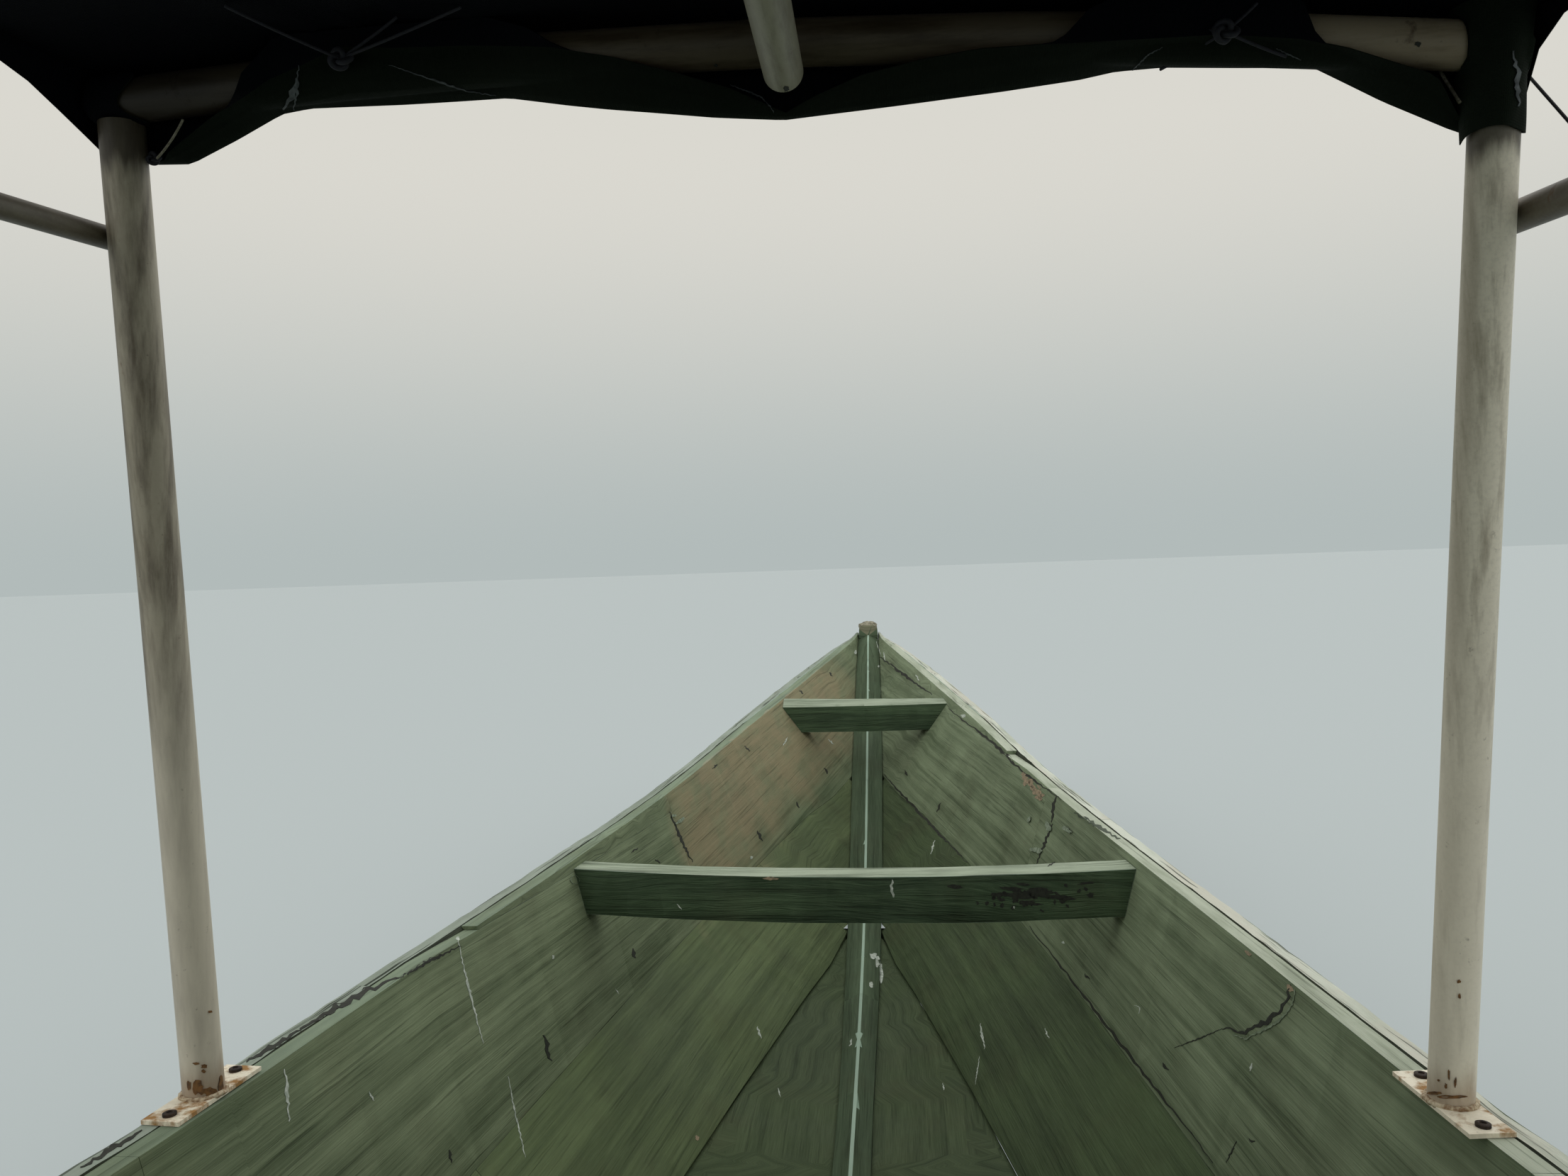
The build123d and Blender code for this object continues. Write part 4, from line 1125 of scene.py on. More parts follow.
    def _front(self, x: float, top: float, step: int) -> Point:
        """Place of a point of the front: its fall, and the hem that is turned back and up."""
        low = between(self.fold, x)
        free = 1 - min(abs(self.share(x, self.fore)), 1.0) ** 8
        stray = noise.noise(Vector((x * 7.0, step * 0.35, 2.0)))
        if step <= self.drop:
            share = step / self.drop
            y = self.fore + free * (0.004 * math.sin(math.pi * share) + 0.002 * share * stray)
            return x, y, top + (low - top) * share
        share = min((step - self.drop) / self.turned, 1.0)
        lip_y, lip_z = between(self.lip, x, 1), between(self.lip, x, 2)
        y = self.fore - 0.006 * free + (lip_y - self.fore + 0.006 * free) * share
        z = low + (lip_z - low) * share
        y -= free * 0.0025 * (1 + stray) * math.sin(math.pi * share)
        up = max(step - self.drop - self.turned, 0) / self.tucked * between(self.tuck, x)
        if up > 0:
            y += (0.346 - y) * up
            z = min(z + (between(self.tuck, x, 2) - z) * up, self.roof(x, y) - 0.0018)
        middle = self.rows[0], self.pipe_height(x)
        off = math.hypot(y - middle[0], z - middle[1])
        if free > 0.02 and off < self.pipe_size:
            y = middle[0] + (y - middle[0]) * self.pipe_size / off
            z = middle[1] + (z - middle[1]) * self.pipe_size / off
        return x, y, z

    def _side_hem(self, side: int, y: float) -> float:
        """Height of a side hem, which droops a little at each row of posts."""
        height = between(self.hem_left if side < 0 else self.hem_right, self.fore - y)
        height -= 0.028 * bump_at(y, self.rows[1], 0.11) + 0.050 * bump_at(y, self.rows[2], 0.13)
        return height + 0.003 * noise.noise(Vector((side, y * 3.0, 5.0))) * min(self.fore - y, 1.0)

    def _sag(self, x: float, y: float) -> float:
        """How far the roof hangs below the line of the cross pipes at a place."""
        for fore, aft in zip(self.rows, self.rows[1:]):
            if aft <= y <= fore:
                share = (y - aft) / (fore - aft)
                return self.sag * 4 * share * (1 - share) * (1 - 0.35 * abs(self.share(x, y)) ** 3)
        return 0.0

    def _collar(self) -> Piece:
        """The starboard front corner, which is wrapped round its post and the pipe's end."""
        collar = grid(26, 14)
        map_grid(collar, 0.16, 0.14)
        foot_x, foot_y, foot_z = 0.725, 0.5, 0.525
        lean_x, lean_y, tall = 0.018, -0.115, 1.135
        pipe_end, roof_end = 0.766, 0.77
        for vertex in collar.data.vertices:
            turn, rise = (vertex.co.x + 1) / 2, (vertex.co.y + 1) / 2
            low = 1.560 + 0.006 * math.sin(5.0 * turn) + 0.012 * turn ** 3
            z = low + (1.690 - low) * rise
            climb = (z - foot_z) / tall
            mid = (foot_x + lean_x * climb, foot_y + lean_y * climb)
            angle = math.radians(-104 + 196 * turn)
            reach = 0.0285 + 0.010 * rise + 0.010 * rise * max(0.0, 0.5 - turn)
            reach = max(0.0262, reach - 0.010 * max(0.0, (turn - 0.5) / 0.5))
            reach += 0.0016 * (1 + noise.noise(Vector((turn * 5.0, rise * 2.0, 6.0))))
            x, y = mid[0] + reach * math.sin(angle), mid[1] - reach * math.cos(angle)
            middle = self.rows[0], self.pipe_height(x)
            off = math.hypot(y - middle[0], z - middle[1])
            if off < self.pipe_size and x < pipe_end:
                y = middle[0] - math.sqrt(max(self.pipe_size ** 2 - (z - middle[1]) ** 2, 0.0))
            vertex.co = (x, y, min(z, self.roof(min(x, roof_end), y) - UNDER))
        return collar

    def _sleeve(self) -> Piece:
        """The port front corner, which is drawn over the end of the cross pipe."""
        sleeve = grid(28, 8)
        map_grid(sleeve, 0.15, 0.08)
        pipe_end = -0.762
        for vertex in sleeve.data.vertices:
            turn, share = (vertex.co.x + 1) / 2, (vertex.co.y + 1) / 2
            angle = math.radians(-200 + 300 * turn)
            x = pipe_end + (0.060 + 0.010 * math.sin(3 * angle)) * share
            reach = self.pipe_size + 0.0012 * noise.noise(Vector((turn * 6.0, share * 2.0, 8.0)))
            reach -= 0.0165 * max(0.0, 0.25 - share) / 0.25
            vertex.co = (x, self.rows[0] - reach * math.cos(angle),
                         self.pipe_height(x) + reach * math.sin(angle))
            vertex.co.z = min(vertex.co.z, self.roof(x, vertex.co.y) - UNDER)
        return sleeve


@dataclass
class Sight:
    """Line of sight from the camera, to set small marks on the surface that carries them.

    Attributes:
        eye: Place of the camera.
        yaw: How far the view is turned to port, in degrees.
        pitch: How far it is tipped up.
        roll: How far it is rolled.
        lens: Focal length in millimetres.
    """

    eye: Point = (0.1162, -0.8727, 1.1519)
    yaw: float = 5.158
    pitch: float = -1.064
    roll: float = -1.953
    lens: float = 27.03

    def axes(self) -> tuple[Vector, Vector, Vector]:
        """The view's own right, up and forward directions."""
        y, p, r = (math.radians(v) for v in (self.yaw, self.pitch, self.roll))
        ahead = Vector((-math.sin(y) * math.cos(p), math.cos(y) * math.cos(p), math.sin(p)))
        right = Vector((math.cos(y), math.sin(y), 0.0))
        up = right.cross(ahead)
        return (right * math.cos(r) + up * math.sin(r), up * math.cos(r) - right * math.sin(r), ahead)

    def hit(self, spot: Spot, carriers: Sequence[Piece]) -> tuple[Vector, Vector] | None:
        """Place and normal of the first surface that a spot of the picture falls on.

        Args:
            spot: Column and row in the picture.
            carriers: Pieces that may carry the mark, with their places in their meshes.

        Returns:
            The place and the normal, or nothing where the spot misses them all.
        """
        right, up, ahead = self.axes()
        eye, wide, high = Vector(self.eye), *PICTURE
        scale = self.lens / SENSOR * wide
        way = (right * (spot[0] - wide / 2) - up * (spot[1] - high / 2) + ahead * scale).normalized()
        found, nearest = None, math.inf
        for carrier in carriers:
            struck, place, normal, _ = carrier.ray_cast(eye, way)
            if struck and (place - eye).length < nearest:
                nearest = (place - eye).length
                found = place, (normal if normal.dot(way) < 0 else -normal)
        return found


@dataclass
class Marks:
    """Small marks of one kind, laid on the surfaces that carry them.

    Attributes:
        name: The piece's name.
        finish: Its material.
        slot: Name of a material slot, which is not used.
        carriers: Pieces that they lie on.
        sight: Line of sight that places them.
        lift: How far they stand off the surface.
        made: The marks so far.
    """

    name: str
    finish: PlainMark
    slot: str
    carriers: Sequence[Piece]
    sight: Sight
    lift: float = 0.0004
    made: list[Piece] = field(default_factory=list)

    def stroke(self, points: Sequence[Spot], width: float) -> None:
        """Add a ragged stroke.

        Args:
            points: Its line in the picture.
            width: Its width there.
        """
        lengths = [math.dist(a, b) for a, b in zip(points, points[1:])]
        total = sum(lengths)
        count = max(3, min(40, round(total / max(width * 0.6, 1.5))))
        strip = grid(count, 2)
        spots = [(round((v.co.x + 1) / 2 * count), round(v.co.y)) for v in strip.data.vertices]
        wide = [random.uniform(0.45, 1.0) for _ in range(count + 1)]
        lean = [random.uniform(-0.25, 0.25) for _ in range(count + 1)]
        for vertex, (step, across) in zip(strip.data.vertices, spots):
            at = total * step / count
            k = 0
            while k < len(lengths) - 1 and at > lengths[k]:
                at -= lengths[k]
                k += 1
            (u0, v0), (u1, v1) = points[k], points[k + 1]
            t = at / lengths[k]
            nu, nv = -(v1 - v0) / lengths[k], (u1 - u0) / lengths[k]
            taper = min(1.0, 0.25 + 1.6 * min(step, count - step) / count)
            off = (across * 0.5 * wide[step] * taper + lean[step]) * width
            found = self.sight.hit((u0 + (u1 - u0) * t + nu * off, v0 + (v1 - v0) * t + nv * off),
                                   self.carriers)
            if found is None:
                self._drop(strip)
                return
            vertex.co = found[0] + found[1] * self.lift
        self.made.append(strip)

    def blot(self, middle: Spot, size: Spot, turn: float = 0.0) -> None:
        """Add a ragged round mark.

        Args:
            middle: Its middle in the picture.
            size: Its half width and half height there.
            turn: How far it is turned, in degrees.
        """
        disc = fresh(bpy.ops.mesh.primitive_circle_add, vertices=14, radius=1.0, fill_type="TRIFAN")
        turn = math.radians(turn)
        for vertex in disc.data.vertices:
            reach = vertex.co.length * random.uniform(0.6, 1.15)
            angle = math.atan2(vertex.co.y, vertex.co.x)
            a, b = reach * math.cos(angle) * size[0], reach * math.sin(angle) * size[1]
            spot = (middle[0] + a * math.cos(turn) - b * math.sin(turn),
                    middle[1] + a * math.sin(turn) + b * math.cos(turn))
            found = self.sight.hit(spot, self.carriers)
            if found is None:
                self._drop(disc)
                return
            vertex.co = found[0] + found[1] * self.lift
        self.made.append(disc)

    def strokes(self, *lines: Sequence) -> None:
        """Add ragged strokes, each given as its width and then its points."""
        for width, *points in lines:
            self.stroke(points, width)

    def blots(self, *spots: Sequence[float]) -> None:
        """Add round marks, each given as its middle, its half width and height, and its turn if any."""
        for u, v, wide, high, *turn in spots:
            self.blot((u, v), (wide, high), *turn)

    @staticmethod
    def _drop(obj: Piece) -> None:
        """Take away a mark that would hang past the edge of what carries it."""
        log.info("mark left out: it passes the edge of its board")
        only(obj)
        bpy.ops.object.delete()

    def finish_all(self) -> None:
        """Join the marks, give them a thickness and dress them."""
        if not self.made:
            log.warning("%s: no marks", self.name)
            return
        piece = joined(self.made, self.name)
        for layer in list(piece.data.uv_layers):
            piece.data.uv_layers.remove(layer)
        apply_modifier(piece, "SOLIDIFY", thickness=MARK_THICK, offset=0.0)
        outward(piece)
        smooth(piece, 40)
        dress(piece, self.finish.material())


@dataclass
class Studio:
    """Camera, floor and light.

    Attributes:
        sight: Where the camera stands and how it looks.
        floor: Colour of the floor.
        shade: Colour that it casts back up, which is that of calm water.
        horizon: Colour of the backdrop where it meets the floor.
        zenith: Its colour overhead.
    """

    sight: Sight
    floor: str = "#B6BEBD"
    shade: str = "#5C615E"
    horizon: str = "#B2BBBA"
    zenith: str = "#DAD8D0"

    def camera(self) -> None:
        """Set the camera where the photograph was taken from."""
        across, top, ahead = self.sight.axes()
        bpy.ops.object.camera_add()
        camera = bpy.context.object
        camera.data.lens = self.sight.lens
        camera.data.sensor_width = SENSOR
        camera.data.clip_start = 0.02
        camera.data.clip_end = 1000.0
        turn = Matrix((across, top, -ahead)).transposed().to_4x4()
        camera.matrix_world = Matrix.Translation(self.sight.eye) @ turn
        bpy.context.scene.camera = camera

    def light(self) -> None:
        """Light the boat with a soft even sky, a little brighter ahead and on the port quarter."""
        world = bpy.data.worlds.new("soft_sky")
        bpy.context.scene.world = world
        world.use_nodes = True
        w = Wiring(world.node_tree)
        path = w.add("LightPath").outputs
        seen = w.math("MAXIMUM", path["Is Camera Ray"], path["Is Glossy Ray"])
        seen = w.math("MAXIMUM", seen, path["Is Transmission Ray"])
        light = w.add("Background", {"Color": linear("#F4F5F5"), "Strength": 0.84})
        height = w.part(w.add("TexCoord").outputs["Generated"], "Z")
        sky = w.mix(w.ramp(height, 0.0, 0.34), linear(self.horizon), linear(self.zenith))
        pale = w.add("Background", {"Color": sky, "Strength": 1.0})
        both = w.add("MixShader", {0: seen, 1: light.outputs[0], 2: pale.outputs[0]})
        w.end("OutputWorld", both)
        for name, place, power in (("sky_fore", (9.0, 14.0, 15.0), 0.72),
                                   ("sky_aft", (-7.0, -12.0, 13.0), 0.55)):
            bpy.ops.object.light_add(type="SUN", location=place)
            lamp = bpy.context.object
            lamp.name = name
            lamp.data.angle = math.radians(70)
            lamp.data.energy = power
            lamp.rotation_euler = Vector(place).to_track_quat("Z", "Y").to_euler()

    def ground(self) -> None:
        """Lay a plain pale floor in the plane of the water, open where the hull is."""
        rows, far = self._waterline(), 300.0
        count = len(rows) + 1
        floor = grid(3, count)
        floor.name = "floor"
        ys = [-far] + [y for y, half in rows] + [far]
        halves = [rows[0][1]] + [half for y, half in rows] + [rows[-1][1]]
        spots = []
        for vertex in floor.data.vertices:
            column = round((vertex.co.x + 1) / 2 * 3)
            row = round((vertex.co.y + 1) / 2 * count)
            spots.append((column, row))
            x = (-far, -halves[row], halves[row], far)[column]
            vertex.co = (x, ys[row], 0.0)

        def in_hull(face: bpy.types.MeshPolygon) -> bool:
            """Whether a face lies inside the hull."""
            columns, lines = zip(*(spots[v] for v in face.vertices))
            return set(columns) <= {1, 2} and min(lines) >= 1 and max(lines) <= count - 1

        select_faces(floor, in_hull)
        bpy.ops.mesh.delete(type="FACE")
        bpy.ops.object.mode_set(mode="OBJECT")
        self._paint_floor(floor)

    def _paint_floor(self, floor: Piece) -> None:
        """Give the floor its pale colour, which lights the boat from below as calm water does."""
        made = bpy.data.materials.new("pale_floor")
        made.use_nodes = True
        w = Wiring(made.node_tree)
        path = w.add("LightPath").outputs
        seen = w.math("MAXIMUM", path["Is Camera Ray"], path["Is Glossy Ray"])
        low = w.ramp(w.add("LayerWeight", {"Blend": 0.5}).outputs["Facing"], 0.45, 0.9)
        colour = w.mix(w.math("MAXIMUM", seen, low), linear(self.shade), linear(self.floor))
        shader = w.add("BsdfPrincipled", {"Base Color": colour, "Roughness": 0.95,
                                          "Specular IOR Level": 0.1})
        w.end("OutputMaterial", shader)
        floor.data.materials.append(made)

    @staticmethod
    def _waterline() -> list[Spot]:
        """Half breadths, inside the thickness of the planking, where the floor opens."""
        per_metre, stern = 500, -4.780
        crossings: dict[int, list[float]] = {}
        for name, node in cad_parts.items():
            if not name.endswith("_right") or not name.startswith(("bottom", "lower", "upper")):
                continue
            points = node.data.vertices
            for edge in node.data.edges:
                a, b = (points[v].co for v in edge.vertices)
                if (a.z < 0) != (b.z < 0) and abs(a.y - b.y) < 0.0002:
                    spot = a.lerp(b, a.z / (a.z - b.z))
                    crossings.setdefault(round(spot.y * per_metre), []).append(spot.x)
        rows = []
        for key in sorted(crossings):
            low, high, y = min(crossings[key]), max(crossings[key]), key / per_metre
            if 0.02 < high - low < 0.08 and (not rows or y > rows[-1][0] + 0.01):
                rows.append((y, (low + high) / 2))
        rows[0] = (max(rows[0][0], stern), rows[0][1])
        log.info("waterline: %d rows, %.3f to %.3f", len(rows), rows[0][0], rows[-1][0])
        return rows


@dataclass
class Fittings:
    """Welds and screws of the canopy's posts.

    Attributes:
        feet: Place of each post's foot, and the turn of its plate from the keel's line.
        span: Distance between a plate's two screws.
    """

    feet: tuple[Point, ...]
    span: float = 0.124

    def build(self) -> None:
        """Make the weld beads and the screw heads."""
        beads, heads = [], []
        for x, y, turn in self.feet:
            z, way = self._plate_top(x, y), math.radians(turn)
            beads.append(self._bead(x, y, z))
            for end in (-0.5, 0.5):
                heads.append(self._head(x + end * self.span * math.sin(way),
                                        y + end * self.span * math.cos(way), z))
        bead = joined(beads, "post_welds")
        roughen(bead, "weld_lumps", 0.006, 1, 0.0030)
        smooth(bead, 50)
        dress(bead, WELD.material())
        head = joined(heads, "plate_screws")
        smooth(head, 35)
        dress(head, SCREW.material())

    @staticmethod
    def _plate_top(x: float, y: float) -> float:
        """Height of the top of the plate under a post."""
        return max(v.co.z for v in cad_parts["base_plates"].data.vertices
                   if abs(v.co.x - x) < 0.06 and abs(v.co.y - y) < 0.1)

    @staticmethod
    def _bead(x: float, y: float, z: float) -> Piece:
        """Weld bead round a post's foot."""
        bead = fresh(bpy.ops.mesh.primitive_torus_add, major_radius=0.0252, minor_radius=0.0036,
                     major_segments=72, minor_segments=10, location=(x, y, z + 0.0008))
        settle(bead)
        return bead

    @staticmethod
    def _head(x: float, y: float, z: float) -> Piece:
        """Round screw head with a sunk recess."""
        head = fresh(bpy.ops.mesh.primitive_cylinder_add, vertices=20, radius=0.0080, depth=0.0034,
                     location=(x, y, z + 0.0016))
        settle(head)
        select_faces(head, lambda face: face.normal.z > 0.9)
        for thickness, depth in ((0.0016, 0.0008), (0.0026, 0.0), (0.0006, -0.0016)):
            bpy.ops.mesh.inset(thickness=thickness, depth=depth)
        bpy.ops.object.mode_set(mode="OBJECT")
        return head


@dataclass
class Ties:
    """Taut cords that gather the cloth, with their knots.

    Attributes:
        sight: Line of sight that places them.
        cloth: The cloth that they lie against.
    """

    sight: Sight
    cloth: Sequence[Piece]

    def build(self) -> None:
        """Make the cords and knots."""
        dark, pale = [], []
        left, right = Vector((-0.449, 0.346, 1.708)), Vector((0.466, 0.346, 1.669))
        foot = Vector((-0.692, 0.392, 1.634))
        for place, size in ((left, 0.0085), (right, 0.0085), (foot, 0.0055)):
            dark.append(self._knot(place, size))
        for start, ends in (
            (left, ((650, 6), (316, 4), (560, 20))),
            (right, ((1637, 94), (1814, 77), (1478, 22), (1772, 6))),
        ):
            for spot in ends:
                found = self.sight.hit(spot, self.cloth)
                if found:
                    end = found[0] + found[1] * 0.003
                    middle = start.lerp(end, 0.5) - Vector((0, 0, 0.002))
                    dark.append(self._cord((start, middle, end), 0.0016))
        found = [self.sight.hit(spot, self.cloth) for spot in ((2022, 88), (2040, 118), (2062, 144))]
        if all(found):
            pale.append(self._cord([f[0] + f[1] * 0.002 for f in found], 0.0018))
        corner, rail = Vector((0.7860, 0.4160, 1.6340)), Vector((0.7925, 0.3055, 1.5100))
        dark.append(self._cord((corner, corner.lerp(rail, 0.5), rail), 0.0016))
        dark.append(self._knot(rail, 0.0060))
        loose = (foot + Vector((0.006, -0.004, -0.002)), foot + Vector((0.03, -0.012, 0.012)),
                 Vector((-0.640, 0.366, 1.664)))
        pale.append(self._cord(loose, 0.0013))
        for name, made, finish in (("dark_ties", dark, TIE), ("pale_ties", pale, PALE_TIE)):
            piece = joined(made, name)
            outward(piece)
            smooth(piece, 50)
            dress(piece, finish.material())

    @staticmethod
    def _cord(points: Sequence[Vector], radius: float) -> Piece:
        """Taut cord through a few points."""
        cord = fresh(bpy.ops.curve.primitive_nurbs_path_add)
        cord.data.splines.remove(cord.data.splines[0])
        spline = cord.data.splines.new("NURBS")
        spline.points.add(len(points) - 1)
        for item, place in zip(spline.points, points):
            item.co = (*place, 1.0)
        spline.order_u = min(3, len(points))
        spline.use_endpoint_u = True
        cord.data.bevel_depth = radius
        cord.data.bevel_resolution = 2
        cord.data.use_fill_caps = True
        only(cord)
        bpy.ops.object.convert(target="MESH")
        settle(bpy.context.object)
        return bpy.context.object

    def _knot(self, place: Vector, size: float) -> Piece:
        """Small overhand knot, as a closed loop wound round itself."""
        points = []
        for k in range(25):
            t = 4 * math.pi * k / 24
            ring = size * (1.0 + 0.45 * math.cos(1.5 * t))
            points.append(place + Vector((ring * math.cos(t), size * 0.55 * math.sin(1.5 * t),
                                          ring * math.sin(t) * 0.8)))
        return self._cord(points, size * 0.36)


class Boat:
    """The whole boat, piece by piece."""

    def __init__(self, sight: Sight) -> None:
        """Start with nothing made.

        Args:
            sight: Line of sight that places the marks and ties.
        """
        self.sight = sight
        self.boards: list[Piece] = []
        self.cloths: list[Piece] = []

    def hull(self) -> None:
        """Planking, backbone and rails."""
        for name in sorted(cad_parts):
            if name.startswith("bottom_board"):
                self._board(Timber(name, BOTTOM, SEAM, SEAM, "hull_wood", worn=0.002))
            elif name.startswith("lower_strake"):
                paint = LOWER_PORT if "left" in name else LOWER
                self._board(Timber(name, paint, SEAM, SEAM, "hull_wood", worn=0.002))
            elif name.startswith(("upper_strake", "sheer_wedge")):
                paint = HULL if "left" in name else HULL_BOARD
                self._board(Timber(name, paint, SEAM, HULL_EDGE, "hull_wood", worn=0.002))
            elif name.startswith("rubbing_rail"):
                paint = RAIL_PORT if "left" in name else RAIL_BOARD
                self._board(Timber(name, paint, GAP, HULL_EDGE, "trim_wood", cell=0.04, worn=0.0025,
                                   uneven=0.005, gap=True))
            elif name in ("keel", "keelson"):
                self._board(Timber(name, BACKBONE, SEAM, RIDGE, "hull_wood", worn=0.002,
                                   ridge=name == "keelson"))
            elif name == "stem":
                self._board(Timber(name, BACKBONE, HEAD, RIDGE, "hull_wood", worn=0.004, uneven=0.005,
                                   ridge=True, head=0.042))

    def stem_head(self) -> None:
        """Mossy lump that is left of the weathered head of the stem."""
        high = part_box("stem")[1]
        tip = [v.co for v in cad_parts["stem"].data.vertices if v.co.z > high[2] - 0.004]
        fore, aft = max(c.y for c in tip), min(c.y for c in tip)
        wide = max(c.x for c in tip)
        lump = fresh(bpy.ops.mesh.primitive_ico_sphere_add, subdivisions=4, radius=1.0)
        spread, sunk, half_height = 0.010, 0.024, 0.022
        for vertex in lump.data.vertices:
            x, y, z = vertex.co
            stray = 1 + 0.16 * noise.noise(vertex.co * 1.7) + 0.07 * noise.noise(vertex.co * 5.0)
            vertex.co = (x * (wide + spread) * stray,
                         (fore + aft) / 2 + y * ((fore - aft) / 2 - 0.004),
                         high[2] - sunk + z * half_height * stray)
        roughen(lump, "moss_lumps", 0.012, 3, 0.008)
        smooth(lump, 60)
        joined([lump], "stem_head_moss")
        dress(lump, MOSS.material())

    def inside(self) -> None:
        """Thwarts, benches, floor and transom."""
        for name in sorted(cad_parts):
            if name.startswith("thwart"):
                self._board(Timber(name, THWART, THWART_EDGE, THWART_EDGE, "trim_wood", Run.ACROSS,
                                   cell=0.04, worn=0.0035, uneven=0.004))
            elif name == "benches":
                self._board(Timber(name, BENCH, HULL_EDGE, HULL_EDGE, "trim_wood", Run.ACROSS))
            elif name == "bench_risers":
                self._board(Timber(name, BENCH, SEAM, HULL_EDGE, "trim_wood"))
            elif name == "floorboards":
                self._board(Timber(name, FLOOR, FLOOR, FLOOR, "floor_wood"))
            elif name == "floor_bearers":
                self._board(Timber(name, FLOOR, FLOOR, FLOOR, "floor_wood", Run.ACROSS))
            elif name in ("transom", "transom_knee", "motor_pad"):
                self._board(Timber(name, HULL, HULL_EDGE, HULL_EDGE, "hull_wood", Run.ACROSS))

    def _board(self, timber: Timber) -> None:
        """Build a board and keep it for the marks."""
        self.boards.append(timber.build())

    def pipes(self) -> None:
        """Finish of the steel nodes, which keep their CAD shape, with welds and screws."""
        finishes = {"front_post_left": POST_PORT, "front_post_right": POST_BOARD, "mid_posts": POSTS,
                    "rear_posts": POSTS, "cross_pipes": CROSS_PIPES, "ridge_pipe": RIDGE_PIPE,
                    "mid_rails": MID_RAILS, "base_plates": PLATES}
        for name, finish in finishes.items():
            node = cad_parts[name]
            node.data.materials.clear()
            node.data.materials.append(finish.material())
        Fittings(feet=self._feet()).build()

    @staticmethod
    def _feet() -> tuple[Point, ...]:
        """Middles of the base plates, and how far each is turned."""
        feet, apart = [], 0.145
        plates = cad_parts["base_plates"].data.vertices
        for y in POST_ROWS:
            for side in (-1, 1):
                near = [v.co for v in plates if abs(v.co.y - y) < 0.2 and v.co.x * side > 0]
                fore = [c.x for c in near if c.y > y + 0.06]
                back = [c.x for c in near if c.y < y - 0.06]
                turn = math.degrees(math.atan2(sum(fore) / len(fore) - sum(back) / len(back), apart))
                feet.append(((min(c.x for c in near) + max(c.x for c in near)) / 2, y, turn))
        return tuple(feet)

    def cloth(self) -> None:
        """The tarpaulin and its ties."""
        self.cloths = Canopy().build()
        bpy.context.view_layer.update()
        Ties(self.sight, self.cloths).build()

    def marks(self) -> None:
        """Droppings, nicks, cracks, chips, holes, rust, bare patches and pale folds, with painted shade in
        the gaps beside the rails.
        """
        bpy.context.view_layer.update()
        for lay in (self._droppings, self._nicks_and_gap_shade, self._rail_shadow_marks, self._chipped, self._steel_marks,
                    self._bare_wood, self._folds):
            lay()

    def _wooden(self, name: str, finish: PlainMark, lift: float = 0.0004) -> Marks:
        """Marks on the hull's boards, with none laid yet."""
        return Marks(name, finish, "hull_wood", self.boards, self.sight, lift)

    def _droppings(self) -> None:
        """White bird droppings, in runs and spots."""
        white = self._wooden("droppings", DROPPING)
        white.strokes(
            (4.0, (646, 1325), (655, 1370), (668, 1420), (681, 1472)),
            (3.0, (716, 1518), (724, 1560), (741, 1633)), (6.0, (402, 1508), (405, 1545), (408, 1582)),
            (4.0, (1068, 1448), (1074, 1465)), (4.0, (1383, 1444), (1389, 1480)),
            (1.6, (1382, 1490), (1376, 1530)), (3.0, (1474, 1451), (1480, 1465)),
            (7.0, (1258, 1241), (1259, 1266)), (5.0, (1202, 1466), (1199, 1476)),
            (2.5, (1097, 1535), (1101, 1548)), (3.0, (1330, 1528), (1332, 1538)),
            (4.0, (1767, 1500), (1763, 1511)), (3.0, (1319, 1185), (1313, 1205)),
            (3.5, (1246, 920), (1249, 932)), (3.0, (1292, 952), (1297, 960)),
            (1.6, (1236, 905), (1243, 925)), (1.8, (1600, 1418), (1608, 1421), (1607, 1430)),
            (2.0, (868, 1395), (873, 1402)), (2.0, (955, 1275), (962, 1283)),
            (3.0, (1168, 1043), (1176, 1050)), (2.5, (1105, 1052), (1111, 1040)),
            (3.0, (520, 1540), (527, 1553)))
        white.blots(
            (646, 1324, 3, 3), (1238, 1355, 4, 9), (1232, 1349, 6, 5), (1243, 1372, 3, 14),
            (1229, 1390, 3, 5), (1359, 1010, 4, 3), (1207, 920, 2, 3), (780, 1350, 2, 3),
            (1060, 1210, 2, 3), (1500, 1330, 2, 2), (1430, 1280, 2, 2), (1240, 940, 2, 2))
        white.finish_all()

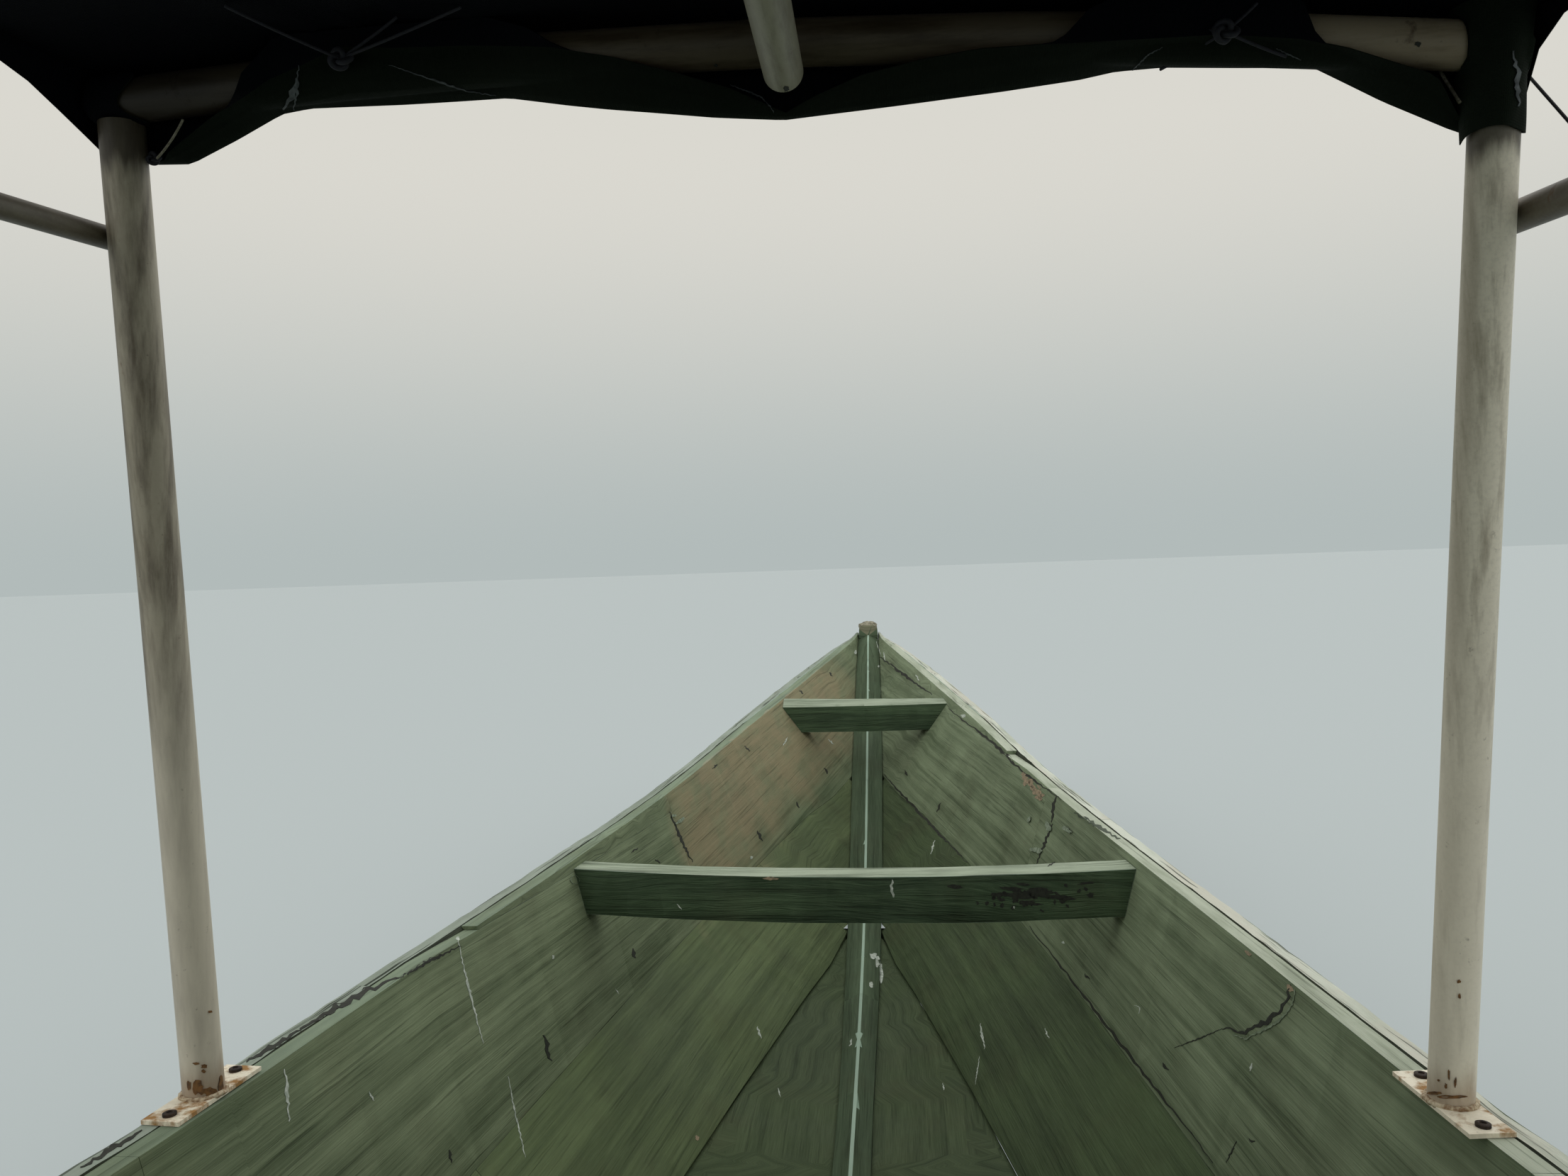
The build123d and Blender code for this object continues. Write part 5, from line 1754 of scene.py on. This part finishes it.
    def _nicks_and_gap_shade(self) -> None:
        """Dark nicks, open seams and cracks, the rubbed spot by the starboard butt, and painted shade in
        the gap along the port rail.
        """
        dark = self._wooden("nicks", NICK)
        dark.strokes(
            (8.0, (767, 1460), (772, 1480), (777, 1497)), (6.0, (892, 1338), (896, 1352)),
            (5.0, (1068, 1172), (1075, 1187)), (4.0, (1163, 1083), (1167, 1092)),
            (4.0, (1124, 1131), (1127, 1140)), (4.0, (1322, 1146), (1327, 1132)),
            (4.0, (1276, 1087), (1281, 1094)), (5.0, (1171, 948), (1174, 954)),
            (4.0, (1128, 974), (1133, 979)), (8.0, (1640, 1500), (1648, 1510)),
            (5.0, (1530, 1374), (1537, 1382)), (6.0, (633, 1622), (637, 1640)),
            (9.0, (1820, 1389), (1816, 1413), (1802, 1430), (1788, 1441), (1753, 1458), (1738, 1452),
             (1725, 1451)),
            (5.5, (1452, 1307), (1520, 1392), (1600, 1497), (1712, 1640)),
            (5.0, (1246, 1093), (1364, 1217)), (5.0, (1242, 927), (1280, 955), (1315, 980)),
            (5.0, (1338, 1000), (1400, 1047), (1444, 1090), (1497, 1128)),
            (6.0, (1489, 1123), (1486, 1140), (1484, 1160)),
            (5.0, (1484, 1162), (1474, 1190), (1462, 1218)),
            (5.0, (944, 1145), (955, 1170), (968, 1200), (977, 1216)),
            # Painted shade: the strokes on this line and the next two darken the gap between the port rail
            # and its strake.
            (9.0, (348, 1499), (386, 1476), (424, 1453)),
            (11.0, (424, 1453), (470, 1423), (520, 1397), (565, 1379)),
            (6.0, (565, 1379), (602, 1357), (650, 1334)), (9.0, (114, 1648), (160, 1620), (200, 1594)),
            (2.5, (466, 1413), (500, 1398), (545, 1381)),
            (2.5, (1725, 1451), (1690, 1466), (1657, 1478)), (3.0, (890, 1203), (900, 1196)),
            (3.0, (924, 1212), (931, 1218)), (6.0, (1762, 1606), (1770, 1611)),
            (3.0, (1730, 1640), (1745, 1610)), (3.0, (1500, 1165), (1512, 1172)),
            (3.0, (1478, 1222), (1489, 1216)), (3.0, (1050, 1052), (1058, 1060)),
            (3.0, (1005, 1085), (1012, 1078)))
        for _ in range(46):
            place = random.gauss(1452, 40), random.gauss(1266, 9)
            dark.blot(place, (random.uniform(2, 6), random.uniform(1.5, 4)), random.uniform(0, 180))
        for _ in range(22):
            place = random.gauss(1450, 38), random.gauss(1263, 7)
            dark.blot(place, (random.uniform(9, 20), random.uniform(2, 4)), random.uniform(-8, 8))
        dark.finish_all()

    def _rail_shadow_marks(self) -> None:
        """Painted shadow: dark strokes in the gap between the starboard rail and the strake, beside the
        butt.
        """
        shade = Marks("rail_shadow", SHADOW, "trim_wood", self.boards, self.sight)
        shade.strokes((7.0, (1516, 1146), (1532, 1156), (1548, 1166), (1580, 1184)))
        shade.finish_all()

    def _chipped(self) -> None:
        """Pale lips of a crack and of a knot hole, and chips of paint."""
        lip = self._wooden("crack_lips", LIP, 0.0012)
        lip.strokes((4.5, (1828, 1396), (1824, 1417), (1810, 1436), (1793, 1448), (1758, 1466),
                     (1740, 1459)))
        lip.stroke([(811 + 7 * math.cos(k * math.pi / 6), 1241 + 6 * math.sin(k * math.pi / 6))
                    for k in range(13)], 1.6)
        lip.finish_all()
        chips = self._wooden("green_chips", CHIP, 0.004)
        chips.blots(
            (1464, 1200, 9, 4, 15), (1480, 1166, 7, 4, 65), (1507, 1171, 8, 3, 35),
            (1453, 1157, 2, 5, 20), (958, 1158, 8, 3, -35), (949, 1151, 4, 2, 0))
        chips.finish_all()

    def _steel_marks(self) -> None:
        """Holes in the cross pipe, and rust at the feet of the front posts."""
        pipes = [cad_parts[name] for name in ("cross_pipes", "ridge_pipe")]
        holes = Marks("pipe_holes", NICK, "canopy_steel", pipes, self.sight)
        holes.blots((1109, 125, 4.0, 4.0), (2000, 62, 4.5, 4.5), (1010, 92, 2.5, 2.5))
        holes.finish_all()
        posts = [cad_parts[name] for name in ("front_post_left", "front_post_right")]
        rust = Marks("foot_rust", RUST, "canopy_steel", posts, self.sight, 0.0008)
        rust.blots(
            (280, 1534, 9, 11), (296, 1540, 12, 7), (311, 1530, 4, 13), (267, 1532, 3, 8),
            (288, 1504, 5, 3), (277, 1500, 5, 2), (287, 1511, 3, 3), (296, 1427, 3, 2),
            (2024, 1542, 10, 3), (2050, 1547, 22, 2.5), (2030, 1524, 2, 2), (2040, 1532, 2, 5),
            (2058, 1384, 3, 3), (2059, 1405, 2, 4), (2044, 1516, 2, 9), (2053, 1526, 2, 8))
        rust.finish_all()

    def _bare_wood(self) -> None:
        """Patches where the paint has gone, and the scraped end of the starboard wedge."""
        bare = self._wooden("bare_patches", BARE)
        bare.blots(
            (1820, 1394, 7, 4, 30), (983, 1605, 3, 4, 0), (1087, 1239, 11, 3, 4), (1761, 1345, 6, 3, 40))
        for k in range(26):
            t = k / 25
            place = 1446 + 24 * t + random.gauss(0, 3), 1098 + 30 * t + random.gauss(0, 3)
            bare.blot(place, (random.uniform(3, 7) * (1.1 - 0.6 * t), random.uniform(1.5, 4)), 55)
        bare.finish_all()

    def _folds(self) -> None:
        """Pale folds at the front of the cloth."""
        folds = Marks("pale_folds", PALE_FOLD, "tarpaulin", self.cloths, self.sight, 0.0012)
        folds.strokes(
            (5.0, (421, 92), (420, 125), (414, 154)), (11.0, (419, 110), (410, 138), (398, 152)),
            (3.0, (549, 92), (600, 108), (660, 128), (700, 134)),
            (3.0, (1030, 120), (1075, 138), (1092, 158)), (2.5, (1597, 98), (1620, 76), (1640, 66)),
            (9.0, (2134, 72), (2140, 105), (2141, 150)), (2.5, (1800, 68), (1835, 84)))
        folds.finish_all()


def main() -> None:
    """Build the boat and its studio."""
    logging.basicConfig(level=logging.INFO, format="%(message)s")
    random.seed(SEED)
    sight = Sight()
    bpy.context.scene.view_settings.view_transform = "Standard"
    studio = Studio(sight)
    studio.camera()
    studio.light()
    studio.ground()
    boat = Boat(sight)
    for step in (boat.hull, boat.stem_head, boat.inside, boat.pipes, boat.cloth, boat.marks):
        step()
        log.info("done: %s", step.__name__)
    bpy.context.view_layer.update()


if __name__ == "__main__":
    main()
